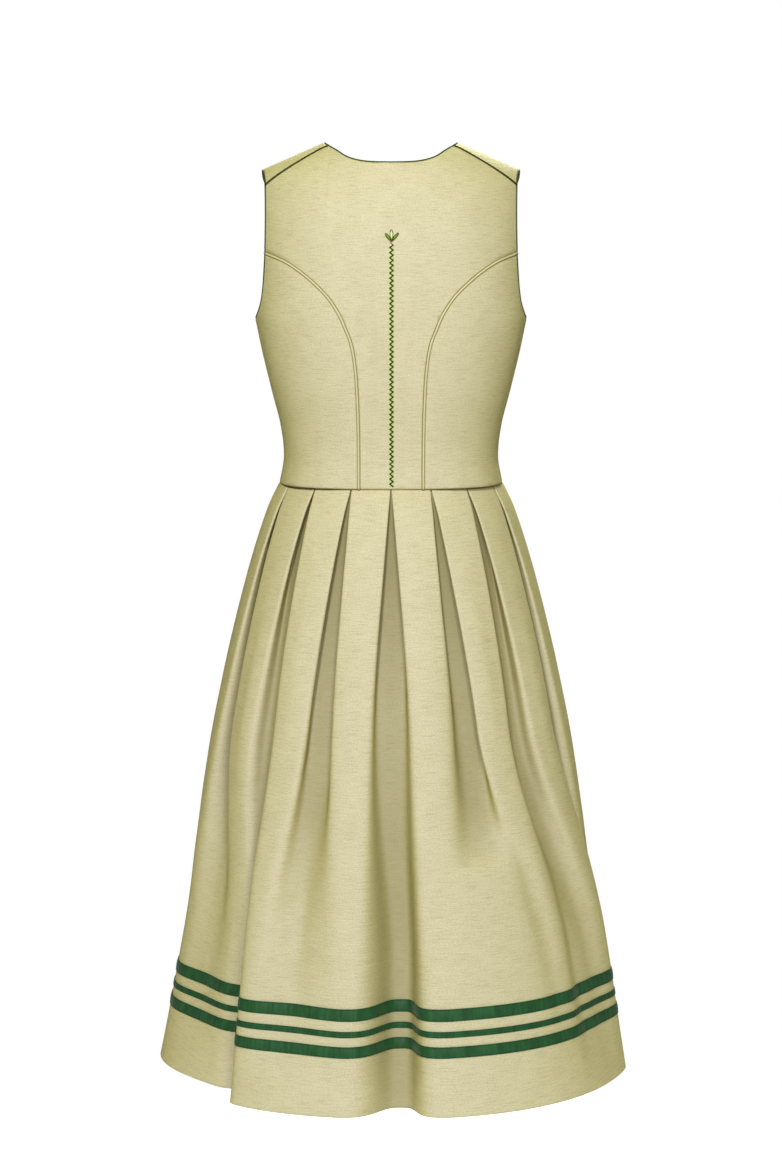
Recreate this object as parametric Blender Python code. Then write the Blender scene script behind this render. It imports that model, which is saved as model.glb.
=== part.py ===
"""Sleeveless dirndl dress in beige linen, worn, seen from the back along +Y.

The bodice is cut from seven panels with princess seams, and the skirt is a straight length of
cloth laid in sixteen inverted box pleats.  Every panel is a wall of real cloth thickness.
Metres, +Z up.  The origin lies between the shoulders, where the dress is held up.
The back of the dress faces -Y and the wearer's left is at -X.
"""
import math
from collections import namedtuple

import bmesh
import bpy
from mathutils import Vector

# ---------------------------------------------------------------- driving sizes
WAIST_Z = -0.361            # waist seam below the middle of the shoulders
CHEST_RISE = 0.183          # underarm above the waist seam
NECK_RISE = 0.375           # shoulder line at the neck, above the waist seam
NECK_HALF = 0.0745          # half the width between the neck ends of the shoulders
SHOULDER_SLOPE = 0.43       # fall of the shoulder line for each metre outwards
COLLAR_SLOPE = 0.25         # rise of the same line inside the neck, which no cloth reaches

BODICE_WALL = 0.0012
SKIRT_WALL = 0.0011
RIBBON_WALL = 0.0010
SEAM_GAP = 0.0003
PULL_SHARE = 0.65           # how much of a seam's gap each of its two panels gives up
RIBBON_LIFT = 0.0010
SEAM_PIPING_RADIUS = 0.0012
EDGE_PIPING_RADIUS = 0.0010
PIPING_LIFT = 0.00045       # how far a piping clears the seam that it covers
PIPING_SHORT = 0.0005       # how far a seam's piping stops before the waist seam
PIPING_SHORT_AT_EDGE = 0.004

PLEATS = 16
SKIRT_ROUND = 1.81          # the flat length of cloth pleated into the waist
CREASE_PITCH = 0.0016       # from one folded layer to the next at the waist
HEM_DROP = 0.652
VALLEY_HANG = 0.06          # how much lower each metre of inward fold brings the hem

# ---------------------------------------------------------------- bodice sections
Girth = namedtuple("Girth", "rise half_width back_depth front_depth")
BODICE_GIRTHS = (
    Girth(0.000, 0.1250, 0.0990, 0.0980),
    Girth(0.030, 0.1200, 0.0965, 0.0960),
    Girth(0.065, 0.1235, 0.0985, 0.1000),
    Girth(0.100, 0.1322, 0.1030, 0.1060),
    Girth(0.145, 0.1430, 0.1070, 0.1110),
    Girth(0.183, 0.1508, 0.1090, 0.1120),
)
GIRTH_SQUARENESS = 2.4
SHOULDER_SQUARENESS = 2.6
BUST_OUT = 0.016
BUST_SIDEWAYS = 0.082
BUST_RISE = 0.155
BUST_SPREAD = 0.052
EDGE_HOLD = 4               # how fast the bend of a panel's bottom and top edges fades inside it

# ---------------------------------------------------------------- bodice seams and edges
Mark = namedtuple("Mark", "across rise face")
BACK, FRONT = -1, 1
PRINCESS_BACK = (
    Mark(0.0350, 0.000, BACK), Mark(0.0352, 0.055, BACK), Mark(0.0362, 0.095, BACK),
    Mark(0.0382, 0.128, BACK), Mark(0.0425, 0.156, BACK), Mark(0.0508, 0.178, BACK),
    Mark(0.0575, 0.192, BACK), Mark(0.0700, 0.2095, BACK), Mark(0.0915, 0.2295, BACK),
    Mark(0.1135, 0.2445, BACK), Mark(0.1375, 0.2545, BACK),
)
PRINCESS_FRONT = (
    Mark(0.0480, 0.000, FRONT), Mark(0.0530, 0.050, FRONT), Mark(0.0640, 0.100, FRONT),
    Mark(0.0790, 0.145, FRONT), Mark(0.0890, 0.180, FRONT), Mark(0.1050, 0.215, FRONT),
    Mark(0.1330, 0.2450, FRONT),
)
ARMHOLE_BACK_LOW = (
    Mark(0.1508, 0.1830, BACK), Mark(0.1480, 0.1870, BACK), Mark(0.1430, 0.2000, BACK),
    Mark(0.1402, 0.2165, BACK), Mark(0.1383, 0.2400, BACK), Mark(0.1375, 0.2545, BACK),
)
ARMHOLE_BACK_HIGH = (
    Mark(0.1375, 0.2545, BACK), Mark(0.1370, 0.2800, BACK), Mark(0.1370, 0.3050, BACK),
    Mark(0.1376, 0.3285, BACK),
)
ARMHOLE_FRONT_LOW = (
    Mark(0.1508, 0.1830, FRONT), Mark(0.1470, 0.1880, FRONT), Mark(0.1400, 0.2050, FRONT),
    Mark(0.1355, 0.2250, FRONT), Mark(0.1330, 0.2450, FRONT),
)
ARMHOLE_FRONT_HIGH = (
    Mark(0.1330, 0.2450, FRONT), Mark(0.1318, 0.2750, FRONT), Mark(0.1350, 0.3100, FRONT),
    Mark(0.1425, 0.3400, FRONT), Mark(0.1376, 0.3285, BACK),
)
ARMHOLE_ACROSS = 0.150      # the middle of the armhole's opening
ARMHOLE_RISE = 0.260
NECK_BACK = (
    Mark(0.0000, 0.3510, BACK), Mark(0.0230, 0.3518, BACK), Mark(0.0371, 0.3540, BACK),
    Mark(0.0490, 0.3582, BACK), Mark(0.0590, 0.3650, BACK), Mark(0.0678, 0.3705, BACK),
)
NECK_FRONT = (
    Mark(0.0000, 0.2750, FRONT), Mark(0.0250, 0.2790, FRONT), Mark(0.0450, 0.2920, FRONT),
    Mark(0.0600, 0.3150, FRONT), Mark(0.0680, 0.3400, FRONT), Mark(0.0735, 0.3680, FRONT),
    Mark(0.0725, 0.3740, BACK), Mark(0.0678, 0.3705, BACK),
)

# ---------------------------------------------------------------- skirt sections and pleats
Ring = namedtuple("Ring", "drop half_width back_depth front_depth fold")
SKIRT_RINGS = (
    Ring(0.000, 0.1250, 0.0990, 0.0980, 0.0017),
    Ring(0.030, 0.1390, 0.1135, 0.1120, 0.0019),
    Ring(0.100, 0.1615, 0.1380, 0.1370, 0.0040),
    Ring(0.200, 0.1870, 0.1650, 0.1640, 0.0080),
    Ring(0.340, 0.2165, 0.1960, 0.1950, 0.0110),
    Ring(0.538, 0.2545, 0.2310, 0.2300, 0.0125),
    Ring(0.596, 0.2645, 0.2395, 0.2385, 0.0125),
    Ring(HEM_DROP, 0.2745, 0.2480, 0.2470, 0.0125),
)
MID_DROP = 0.250            # where the pleats' middle column holds
LOW_DROP = 0.500            # from here down their hem column holds

# One row for each pleat, from the centre back towards the wearer's right and all the way round.
# share: its part of the ring, 1 being a sixteenth; lean: how far the pleat's floor slips
# sideways for each metre of depth; sink: extra depth of the floor; stand: how far the panel
# after the pleat stands out.
Pleat = namedtuple("Pleat", "share_mid share_hem lean_mid lean_hem sink_hem stand_mid stand_hem")
PLEAT_ROWS = (
    Pleat(1.16, 0.90, 0.00, 0.30, 0.022, 0.002, 0.012),
    Pleat(0.96, 1.12, 0.10, 0.10, 0.000, 0.004, 0.015),
    Pleat(1.00, 0.98, 0.10, 0.10, 0.014, 0.002, 0.004),
    Pleat(0.96, 0.86, 0.00, -0.50, 0.010, 0.000, -0.012),
    Pleat(1.00, 1.02, 0.00, 0.00, 0.004, 0.000, 0.000),
    Pleat(0.98, 1.00, 0.10, 0.20, 0.004, 0.002, 0.008),
    Pleat(1.04, 0.92, -0.10, -0.30, 0.010, 0.000, 0.000),
    Pleat(0.98, 1.08, 0.00, 0.10, 0.000, 0.003, 0.010),
    Pleat(1.06, 0.90, 0.10, 0.20, 0.012, 0.002, 0.008),
    Pleat(0.96, 1.08, 0.00, 0.00, 0.000, 0.003, 0.012),
    Pleat(1.02, 0.96, -0.10, -0.20, 0.008, 0.000, 0.000),
    Pleat(0.98, 1.00, 0.10, 0.30, 0.004, 0.000, 0.004),
    Pleat(1.00, 1.02, 0.00, 0.00, 0.004, 0.000, -0.008),
    Pleat(0.96, 1.00, 0.00, 0.00, 0.002, 0.000, -0.024),
    Pleat(1.00, 0.84, 0.10, 0.60, 0.004, 0.004, 0.015),
    Pleat(0.94, 1.12, -0.10, 0.00, 0.000, 0.002, 0.010),
)
LEFT_SIDE_PLEAT, RIGHT_SIDE_PLEAT = 12, 4      # the skirt's side seams hide in these

Ribbon = namedtuple("Ribbon", "name above_hem width")
RIBBONS = (
    Ribbon("ribbon_bottom", 0.0620, 0.0120),
    Ribbon("ribbon_middle", 0.0835, 0.0065),
    Ribbon("ribbon_top", 0.1005, 0.0130),
)

# ---------------------------------------------------------------- finishes
Finish = namedtuple("Finish", "colour roughness")
LINEN = Finish((0.527, 0.482, 0.262), 0.88)
GREEN_CORD = Finish((0.030, 0.110, 0.030), 0.70)
GREEN_SATIN = Finish((0.035, 0.135, 0.045), 0.42)


# ---------------------------------------------------------------- small helpers
def signed_power(value, power):
    return math.copysign(abs(value) ** power, value)


def smooth(low, high, value):
    part = min(1.0, max(0.0, (value - low) / (high - low)))
    return part * part * (3.0 - 2.0 * part)


def through(rows, keys, key):
    """Smooth curve through the rows, read at a key: the rows' values, one by one."""
    if key <= keys[0]:
        return tuple(rows[0])
    if key >= keys[-1]:
        return tuple(rows[-1])
    i = max(j for j in range(len(keys) - 1) if keys[j] <= key)
    span = keys[i + 1] - keys[i]
    part = (key - keys[i]) / span

    def slope(j, column):
        low, high = max(j - 1, 0), min(j + 1, len(rows) - 1)
        return (rows[high][column] - rows[low][column]) / (keys[high] - keys[low])

    values = []
    for column in range(len(rows[0])):
        start, end = rows[i][column], rows[i + 1][column]
        values.append(
            start * (1 + 2 * part) * (1 - part) ** 2
            + end * part * part * (3 - 2 * part)
            + slope(i, column) * span * part * (1 - part) ** 2
            - slope(i + 1, column) * span * part * part * (1 - part)
        )
    return tuple(values)


# ---------------------------------------------------------------- the bodice's surface
def shoulder_rise(across):
    """Height of the shoulder line above the waist seam."""
    beyond = abs(across) - NECK_HALF
    return NECK_RISE - (SHOULDER_SLOPE if beyond > 0 else COLLAR_SLOPE) * beyond


def girth(rise):
    keys = [row.rise for row in BODICE_GIRTHS]
    return Girth(*through(BODICE_GIRTHS, keys, rise))


def way_up(mark, home):
    """How far up its face a mark lies: 1 at the chest, 2 on the shoulder line, more past it."""
    if mark.rise <= CHEST_RISE:
        way = mark.rise / CHEST_RISE
    else:
        part = (mark.rise - CHEST_RISE) / (shoulder_rise(mark.across) - CHEST_RISE)
        way = 1 + 2 / math.pi * math.asin(min(1.0, part) ** (SHOULDER_SQUARENESS / 2))
    return way if mark.face == home else 4 - way


def turn_of(across, way):
    """Angle round the body, from 0 at its centre line to a right angle at its side."""
    low_way = min(way, 4 - way, 1)
    part = min(1.0, abs(across) / girth(low_way * CHEST_RISE).half_width)
    return math.copysign(math.asin(part ** (GIRTH_SQUARENESS / 2)), across)


def body_point(turn, way, home):
    """A point on the outside of the bodice."""
    face = home
    if way > 2:
        way, face = 4 - way, -home
    rise = min(way, 1) * CHEST_RISE
    size = girth(rise)
    across = size.half_width * signed_power(math.sin(turn), 2 / GIRTH_SQUARENESS)
    depth = size.back_depth if face == BACK else size.front_depth
    depth *= signed_power(math.cos(turn), 2 / GIRTH_SQUARENESS)
    if way > 1:
        arch = (way - 1) * math.pi / 2
        top = shoulder_rise(across)
        rise += (top - CHEST_RISE) * math.sin(arch) ** (2 / SHOULDER_SQUARENESS)
        depth *= signed_power(math.cos(arch), 2 / SHOULDER_SQUARENESS)
    if face == FRONT:
        sideways = (abs(across) - BUST_SIDEWAYS) / BUST_SPREAD
        upwards = (rise - BUST_RISE) / BUST_SPREAD
        depth += BUST_OUT * math.exp(-sideways ** 2 - upwards ** 2) * math.cos(turn)
    return Vector((across, face * depth, WAIST_Z + rise))


NORMAL_STEP = 0.004


def body_normal(turn, way, home):
    """Outward direction of the bodice's surface."""
    step = NORMAL_STEP
    along = body_point(turn + step, way, home) - body_point(turn - step, way, home)
    up = body_point(turn, way + step, home) - body_point(turn, way - step, home)
    normal = along.cross(up).normalized()
    middle = Vector((0, 0, WAIST_Z + CHEST_RISE))
    outwards = body_point(turn, way, home) - middle
    return normal if normal.dot(outwards) > 0 else -normal


def edge(marks, count, side, home):
    """A seam or edge through its marks, as count steps of (turn, way)."""
    rows = [(mark.across, way_up(mark, home)) for mark in marks]
    keys = [0.0]
    for before, after in zip(rows, rows[1:]):
        keys.append(keys[-1] + math.hypot(after[0] - before[0], (after[1] - before[1]) * CHEST_RISE))
    places = []
    for i in range(count + 1):
        across, way = through(rows, keys, keys[-1] * i / count)
        places.append((turn_of(side * across, way), way))
    return places


def side_seam(count, side):
    return [(side * math.pi / 2, i / count) for i in range(count + 1)]


def level(start, end, count):
    """Straight steps from one place to another."""
    steps = [i / count for i in range(count + 1)]
    return [(start[0] + (end[0] - start[0]) * s, start[1] + (end[1] - start[1]) * s) for s in steps]


def fill(bottom, top, left, right):
    """Rows of places across from left to right, bent to the bottom and top edges near them."""
    rows = []
    for j, (west, east) in enumerate(zip(left, right)):
        v = j / (len(left) - 1)
        row = []
        for i, (south, north) in enumerate(zip(bottom, top)):
            u = i / (len(bottom) - 1)
            row.append(tuple(
                (1 - u) * west[axis] + u * east[axis]
                + (1 - v) ** EDGE_HOLD * (south[axis] - (1 - u) * bottom[0][axis] - u * bottom[-1][axis])
                + v ** EDGE_HOLD * (north[axis] - (1 - u) * top[0][axis] - u * top[-1][axis])
                for axis in (0, 1)
            ))
        rows.append(row)
    return rows


# ---------------------------------------------------------------- the skirt's surface
OVAL_STEPS = 64
BEND_TRIES = 40
PLEAT_POINTS = 8


def quarter_lengths(half_width, depth):
    """Running length along a quarter oval, from its centre line to its side, in even angles."""
    lengths = [0.0]
    for i in range(OVAL_STEPS):
        turns = (i * math.pi / 2 / OVAL_STEPS, (i + 1) * math.pi / 2 / OVAL_STEPS)
        ends = [(half_width * math.sin(turn), depth * math.cos(turn)) for turn in turns]
        lengths.append(lengths[-1] + math.dist(*ends))
    return lengths


def oval_place(size, tables, place):
    """Point and outward direction at a place round an oval, one turn being 1 from the centre back."""
    place %= 1.0
    quarter = min(3, int(place * 4))
    within = place * 4 - quarter
    if quarter in (1, 3):
        within = 1 - within
    depth = size.back_depth if quarter in (0, 3) else size.front_depth
    lengths = tables[0] if quarter in (0, 3) else tables[1]
    target = within * lengths[-1]
    step = max(i for i in range(len(lengths) - 1) if lengths[i] <= target)
    part = (target - lengths[step]) / (lengths[step + 1] - lengths[step])
    turn = (step + part) * math.pi / 2 / (len(lengths) - 1)
    x_sign = 1 if quarter in (0, 1) else -1
    y_sign = -1 if quarter in (0, 3) else 1
    point = Vector((x_sign * size.half_width * math.sin(turn), y_sign * depth * math.cos(turn)))
    normal = Vector((x_sign * math.sin(turn) / size.half_width, y_sign * math.cos(turn) / depth))
    return point, normal.normalized()


def ring_size(drop):
    return Ring(*through(SKIRT_RINGS, [row.drop for row in SKIRT_RINGS], drop))


def by_height(drop, waist, mid, hem):
    """A pleat's value at a height, from its values at the waist, the middle and the hem."""
    upper = smooth(0.0, MID_DROP, drop)
    lower = smooth(MID_DROP, LOW_DROP, drop)
    return waist + (mid - waist) * upper + (hem - mid) * lower


def open_pleat(pitch, waist_pitch, fold):
    """Half a pleat from its floor's centre out, as (cloth, along, depth) at its four corners.

    The cloth keeps its length: the more the pitch opens, the less the folds turn.
    """
    cloth = SKIRT_ROUND / PLEATS
    loosened = fold - CREASE_PITCH
    apart = SKIRT_WALL / 2 + SEAM_GAP
    panel = waist_pitch / 2 - apart
    tuck = (cloth / 2 - 2 * CREASE_PITCH - panel - apart) / 2
    panel -= loosened / 2
    floor = tuck + apart - loosened / 2
    back = tuck - loosened
    low, high = 0.0, math.pi
    for _ in range(BEND_TRIES):
        bend = (low + high) / 2
        reach = floor + 2 * fold * math.cos(bend / 2) + back * math.cos(bend) + panel
        if reach > pitch / 2:
            low = bend
        else:
            high = bend
    along, depth, run = floor, 0.0, floor
    corners = [(run, along, depth)]
    for length, heading in ((fold, bend / 2), (back, bend), (fold, bend / 2)):
        along += length * math.cos(heading)
        depth += length * math.sin(heading)
        run += length
        corners.append((run, along, depth))
    return [(run, along, height - depth) for run, along, height in corners]


def skirt_ring(drop):
    """The skirt's middle line at a height: eight points for each pleat.

    Folds that lie under a panel keep clear of it, because the panel runs straight there.
    """
    size = ring_size(drop)
    tables = [quarter_lengths(size.half_width, d) for d in (size.back_depth, size.front_depth)]
    around = 2 * (tables[0][-1] + tables[1][-1])
    top = SKIRT_RINGS[0]
    waist_tables = [quarter_lengths(top.half_width, d) for d in (top.back_depth, top.front_depth)]
    waist_pitch = 2 * (waist_tables[0][-1] + waist_tables[1][-1]) / PLEATS
    shares = [by_height(drop, 1.0, row.share_mid, row.share_hem) for row in PLEAT_ROWS]
    stands = [by_height(drop, 0.0, row.stand_mid, row.stand_hem) for row in PLEAT_ROWS]
    total = sum(shares)
    centres, halves = [0.0], []
    for k in range(PLEATS):
        if k:
            centres.append(centres[-1] + around * (shares[k - 1] + shares[k]) / 2 / total)
        halves.append(open_pleat(around * shares[k] / total, waist_pitch, size.fold))
    points = []
    for k, row in enumerate(PLEAT_ROWS):
        lean = by_height(drop, 0.0, row.lean_mid, row.lean_hem)
        sink = by_height(drop, 0.0, 0.0, row.sink_hem)
        for side in (-1, 1):
            crest = halves[k][-1][1]
            neighbour = (k + side) % PLEATS
            far_crest = centres[neighbour] - side * halves[neighbour][-1][1]
            ends = (centres[k] + side * crest, far_crest)
            start, end = [oval_place(size, tables, along / around)[0] for along in ends]
            chord = (end - start).normalized()
            for run, along, depth in halves[k][::side]:
                reach = side * run / halves[k][-1][0]
                out = depth - sink * math.cos(math.pi / 2 * reach) ** 2
                slip = -lean * out
                out += stands[k - 1] * (1 - reach) / 2 + stands[k] * (1 + reach) / 2
                point, normal = oval_place(size, tables, (centres[k] + side * along + slip) / around)
                if along > crest:
                    out -= abs(chord.x * (point - start).y - chord.y * (point - start).x)
                place = point + normal * out
                hang = VALLEY_HANG * out * drop / HEM_DROP
                points.append(Vector((place.x, place.y, WAIST_Z - drop + hang)))
    return points


def offset_ring(points, distance):
    """A closed level line moved outwards, with mitred corners."""
    moved = []
    for i, point in enumerate(points):
        before = (point - points[i - 1]).to_2d().normalized()
        after = (points[(i + 1) % len(points)] - point).to_2d().normalized()
        first, second = Vector((before.y, -before.x)), Vector((after.y, -after.x))
        shift = (first + second) * (distance / (1 + first.dot(second)))
        moved.append(point + shift.to_3d())
    return moved


# ---------------------------------------------------------------- making objects
def make_finish(name, finish):
    material = bpy.data.materials.new(name)
    material.use_nodes = True
    shader = material.node_tree.nodes["Principled BSDF"]
    shader.inputs["Base Color"].default_value = (*finish.colour, 1)
    shader.inputs["Roughness"].default_value = finish.roughness
    shader.inputs["Metallic"].default_value = 0.0
    material.diffuse_color = (*finish.colour, 1)
    return material


def add_walled(name, outer, inner, finish, collection, closed=False):
    """A closed wall between two grids of points; closed joins each row's ends.

    Both sides are halved along the same diagonals, so that a twisted wall keeps its thickness.
    """
    rows, columns = len(outer), len(outer[0])
    vertices = [p for row in outer for p in row] + [p for row in inner for p in row]
    inside = rows * columns
    around = columns if closed else columns - 1
    faces = []
    for j in range(rows - 1):
        for i in range(around):
            a, b = j * columns + i, j * columns + (i + 1) % columns
            c, d = b + columns, a + columns
            rising, falling = vertices[c] - vertices[a], vertices[d] - vertices[b]
            if rising.length < falling.length:
                halves = (a, b, c), (a, c, d)
            else:
                halves = (a, b, d), (b, c, d)
            for half in halves:
                faces.append(half)
                faces.append(tuple(inside + corner for corner in reversed(half)))
    for i in range(around):
        a, b = i, (i + 1) % columns
        faces.append((inside + a, inside + b, b, a))
        a, b = a + (rows - 1) * columns, b + (rows - 1) * columns
        faces.append((a, b, inside + b, inside + a))
    if not closed:
        for j in range(rows - 1):
            a, b = j * columns, (j + 1) * columns
            faces.append((a, b, inside + b, inside + a))
            a, b = a + columns - 1, b + columns - 1
            faces.append((inside + a, inside + b, b, a))
    mesh = bpy.data.meshes.new(name)
    mesh.from_pydata([tuple(v) for v in vertices], [], faces)
    mesh.validate()
    work = bmesh.new()
    work.from_mesh(mesh)
    bmesh.ops.recalc_face_normals(work, faces=work.faces)
    work.to_mesh(mesh)
    work.free()
    mesh.materials.append(make_finish(name, finish))
    item = bpy.data.objects.new(name, mesh)
    collection.objects.link(item)
    return item


def pull_in(grid):
    """Moves a grid's edge points inwards by their part of the seam's gap."""
    rows, columns = len(grid), len(grid[0])
    pull = SEAM_GAP * PULL_SHARE
    moved = [[point.copy() for point in row] for row in grid]
    for j in range(rows):
        for i in range(columns):
            if i in (0, columns - 1):
                towards = grid[j][1 if i == 0 else columns - 2]
                moved[j][i] += (towards - grid[j][i]).normalized() * pull
            if j in (0, rows - 1):
                towards = grid[1 if j == 0 else rows - 2][i]
                moved[j][i] += (towards - grid[j][i]).normalized() * pull
    return moved


def add_panel(name, places, home, collection):
    """A bodice panel: its outside on the body's surface, its wall inwards."""
    outer = [[body_point(turn, way, home) for turn, way in row] for row in places]
    inner = [
        [body_point(turn, way, home) - body_normal(turn, way, home) * BODICE_WALL for turn, way in row]
        for row in places
    ]
    return add_walled(name, pull_in(outer), pull_in(inner), LINEN, collection)


def add_cord(name, points, radius, finish, collection, closed=False):
    curve = bpy.data.curves.new(name, "CURVE")
    curve.dimensions = "3D"
    curve.bevel_depth = radius
    curve.bevel_resolution = 1
    curve.use_fill_caps = not closed
    spline = curve.splines.new("POLY")
    spline.points.add(len(points) - 1)
    for spot, point in zip(spline.points, points):
        spot.co = (*point, 1)
    spline.use_cyclic_u = closed
    curve.materials.append(make_finish(name, finish))
    item = bpy.data.objects.new(name, curve)
    collection.objects.link(item)
    return item


# ---------------------------------------------------------------- the dress
PRINCESS_STEPS = 7
ARMHOLE_LOW_STEPS = 4
ARMHOLE_BACK_STEPS = 4
FRONT_OPENING_STEPS = 5
NECK_BACK_STEPS = 6
NECK_FRONT_STEPS = 8
SHOULDER_STEPS = 2
ARMHOLE_FRONT_STEPS = FRONT_OPENING_STEPS + NECK_FRONT_STEPS - PRINCESS_STEPS


def armhole_low(face, side):
    marks = ARMHOLE_BACK_LOW if face == BACK else ARMHOLE_FRONT_LOW
    return edge(marks, ARMHOLE_LOW_STEPS, side, face)


def shoulder_seam(side, home):
    """From the armhole to the neck, set on the back below the shoulder line."""
    outer = edge(ARMHOLE_BACK_HIGH, 1, side, BACK)[-1]
    inner = edge(NECK_BACK, 1, side, BACK)[-1]
    seam = level(outer, inner, SHOULDER_STEPS)
    return [(turn, way if home == BACK else 4 - way) for turn, way in seam]


def back_centre_places():
    sides = []
    for side in (-1, 1):
        seam = edge(PRINCESS_BACK, PRINCESS_STEPS, side, BACK)
        armhole = edge(ARMHOLE_BACK_HIGH, ARMHOLE_BACK_STEPS, side, BACK)
        sides.append(seam + armhole[1:])
    half = NECK_BACK_STEPS // 2
    neck = edge(NECK_BACK, half, -1, BACK)[::-1] + edge(NECK_BACK, half, 1, BACK)[1:]
    top = shoulder_seam(-1, BACK) + neck[1:] + shoulder_seam(1, BACK)[::-1][1:]
    bottom = level(sides[0][0], sides[1][0], len(top) - 1)
    return fill(bottom, top, *sides)


def side_places(face, side):
    marks = PRINCESS_BACK if face == BACK else PRINCESS_FRONT
    seam = edge(marks, PRINCESS_STEPS, side, face)
    outer = side_seam(PRINCESS_STEPS, side)
    top = armhole_low(face, side)[::-1]
    bottom = level(seam[0], outer[0], len(top) - 1)
    return fill(bottom, top, seam, outer)


def front_centre_places(side):
    opening = level((0.0, 0.0), edge(NECK_FRONT, 1, side, FRONT)[0], FRONT_OPENING_STEPS)
    inner = opening + edge(NECK_FRONT, NECK_FRONT_STEPS, side, FRONT)[1:]
    seam = edge(PRINCESS_FRONT, PRINCESS_STEPS, side, FRONT)
    outer = seam + edge(ARMHOLE_FRONT_HIGH, ARMHOLE_FRONT_STEPS, side, FRONT)[1:]
    top = shoulder_seam(side, FRONT)[::-1]
    bottom = level(inner[0], outer[0], len(top) - 1)
    return fill(bottom, top, inner, outer)


def on_body(places, home, lift):
    """Points over the bodice, lifted off its surface."""
    return [body_point(*p, home) + body_normal(*p, home) * lift for p in places]


def beside_edge(places, home, opening, radius, closed=False):
    """Points just beyond a free edge, on its opening's side, level with the middle of its wall."""
    points = [body_point(*p, home) - body_normal(*p, home) * BODICE_WALL / 2 for p in places]
    moved = []
    last = len(points) - 1
    for i, point in enumerate(points):
        before = points[i - 1] if closed or i > 0 else point
        after = points[(i + 1) % len(points)] if closed or i < last else point
        outwards = (after - before).cross(body_normal(*places[i], home)).normalized()
        if outwards.dot(opening - point) < 0:
            outwards.negate()
        moved.append(point + outwards * (radius + SEAM_GAP))
    return moved


def clipped(points, start, end):
    """The same line, cut short at each end."""
    cut = [point.copy() for point in points]
    cut[0] += (points[1] - points[0]).normalized() * start
    cut[-1] += (points[-2] - points[-1]).normalized() * end
    return cut


def build_bodice(collection):
    add_panel("back_centre", back_centre_places(), BACK, collection)
    for side, word in ((-1, "left"), (1, "right")):
        add_panel("back_side_" + word, side_places(BACK, side), BACK, collection)
        add_panel("front_side_" + word, side_places(FRONT, side), FRONT, collection)
        add_panel("front_centre_" + word, front_centre_places(side), FRONT, collection)


def build_cords(collection):
    over_seam = SEAM_PIPING_RADIUS + PIPING_LIFT
    over_shoulder = EDGE_PIPING_RADIUS + PIPING_LIFT
    for side, word in ((-1, "left"), (1, "right")):
        for marks, face, place in ((PRINCESS_BACK, BACK, "back"), (PRINCESS_FRONT, FRONT, "front")):
            line = on_body(edge(marks, PRINCESS_STEPS, side, face), face, over_seam)
            line = clipped(line, PIPING_SHORT, PIPING_SHORT_AT_EDGE)
            add_cord(f"princess_piping_{place}_{word}", line, SEAM_PIPING_RADIUS, LINEN, collection)
        line = on_body(shoulder_seam(side, BACK), BACK, over_shoulder)
        line = clipped(line, PIPING_SHORT_AT_EDGE, PIPING_SHORT_AT_EDGE)
        add_cord("shoulder_piping_" + word, line, EDGE_PIPING_RADIUS, GREEN_CORD, collection)

        up_back = edge(ARMHOLE_BACK_LOW, ARMHOLE_LOW_STEPS, side, FRONT)
        up_back += edge(ARMHOLE_BACK_HIGH, ARMHOLE_BACK_STEPS, side, FRONT)[1:]
        down_front = edge(ARMHOLE_FRONT_HIGH, ARMHOLE_FRONT_STEPS, side, FRONT)[::-1]
        down_front += edge(ARMHOLE_FRONT_LOW, ARMHOLE_LOW_STEPS, side, FRONT)[::-1][1:]
        loop = up_back + down_front[1:-1]
        opening = Vector((side * ARMHOLE_ACROSS, 0, WAIST_Z + ARMHOLE_RISE))
        line = beside_edge(loop, FRONT, opening, EDGE_PIPING_RADIUS, closed=True)
        add_cord("armhole_piping_" + word, line, EDGE_PIPING_RADIUS, GREEN_CORD, collection, True)

    left, right = [
        edge(NECK_FRONT, NECK_FRONT_STEPS, side, FRONT)
        + edge(NECK_BACK, NECK_BACK_STEPS // 2, side, FRONT)[::-1][1:]
        for side in (-1, 1)
    ]
    opening = Vector((0, 0, WAIST_Z + NECK_RISE))
    line = beside_edge(left + right[::-1][1:], FRONT, opening, EDGE_PIPING_RADIUS)
    line[0].x -= EDGE_PIPING_RADIUS
    line[-1].x += EDGE_PIPING_RADIUS
    add_cord("neck_piping", line, EDGE_PIPING_RADIUS, GREEN_CORD, collection)


def half_skirt(rows, first, last):
    """The part of each closed row from one side pleat's floor to the other's."""
    halves = []
    for row in rows:
        start, stop = [PLEAT_POINTS * pleat + PLEAT_POINTS // 2 for pleat in (first, last)]
        if stop < start:
            stop += len(row)
        part = [row[i % len(row)] for i in range(start, stop)]
        begin = (row[start - 1] + row[start]) / 2
        end = (row[(stop - 1) % len(row)] + row[stop % len(row)]) / 2
        halves.append([begin] + part + [end])
    return halves


def build_skirt(collection):
    lines = [skirt_ring(row.drop) for row in SKIRT_RINGS]
    outer = [offset_ring(line, SKIRT_WALL / 2) for line in lines]
    inner = [offset_ring(line, -SKIRT_WALL / 2) for line in lines]
    for name, first, last in (
        ("skirt_back", LEFT_SIDE_PLEAT, RIGHT_SIDE_PLEAT),
        ("skirt_front", RIGHT_SIDE_PLEAT, LEFT_SIDE_PLEAT),
    ):
        walls = [pull_in(half_skirt(rows, first, last)) for rows in (outer, inner)]
        add_walled(name, *walls, LINEN, collection)
    return lines


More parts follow.
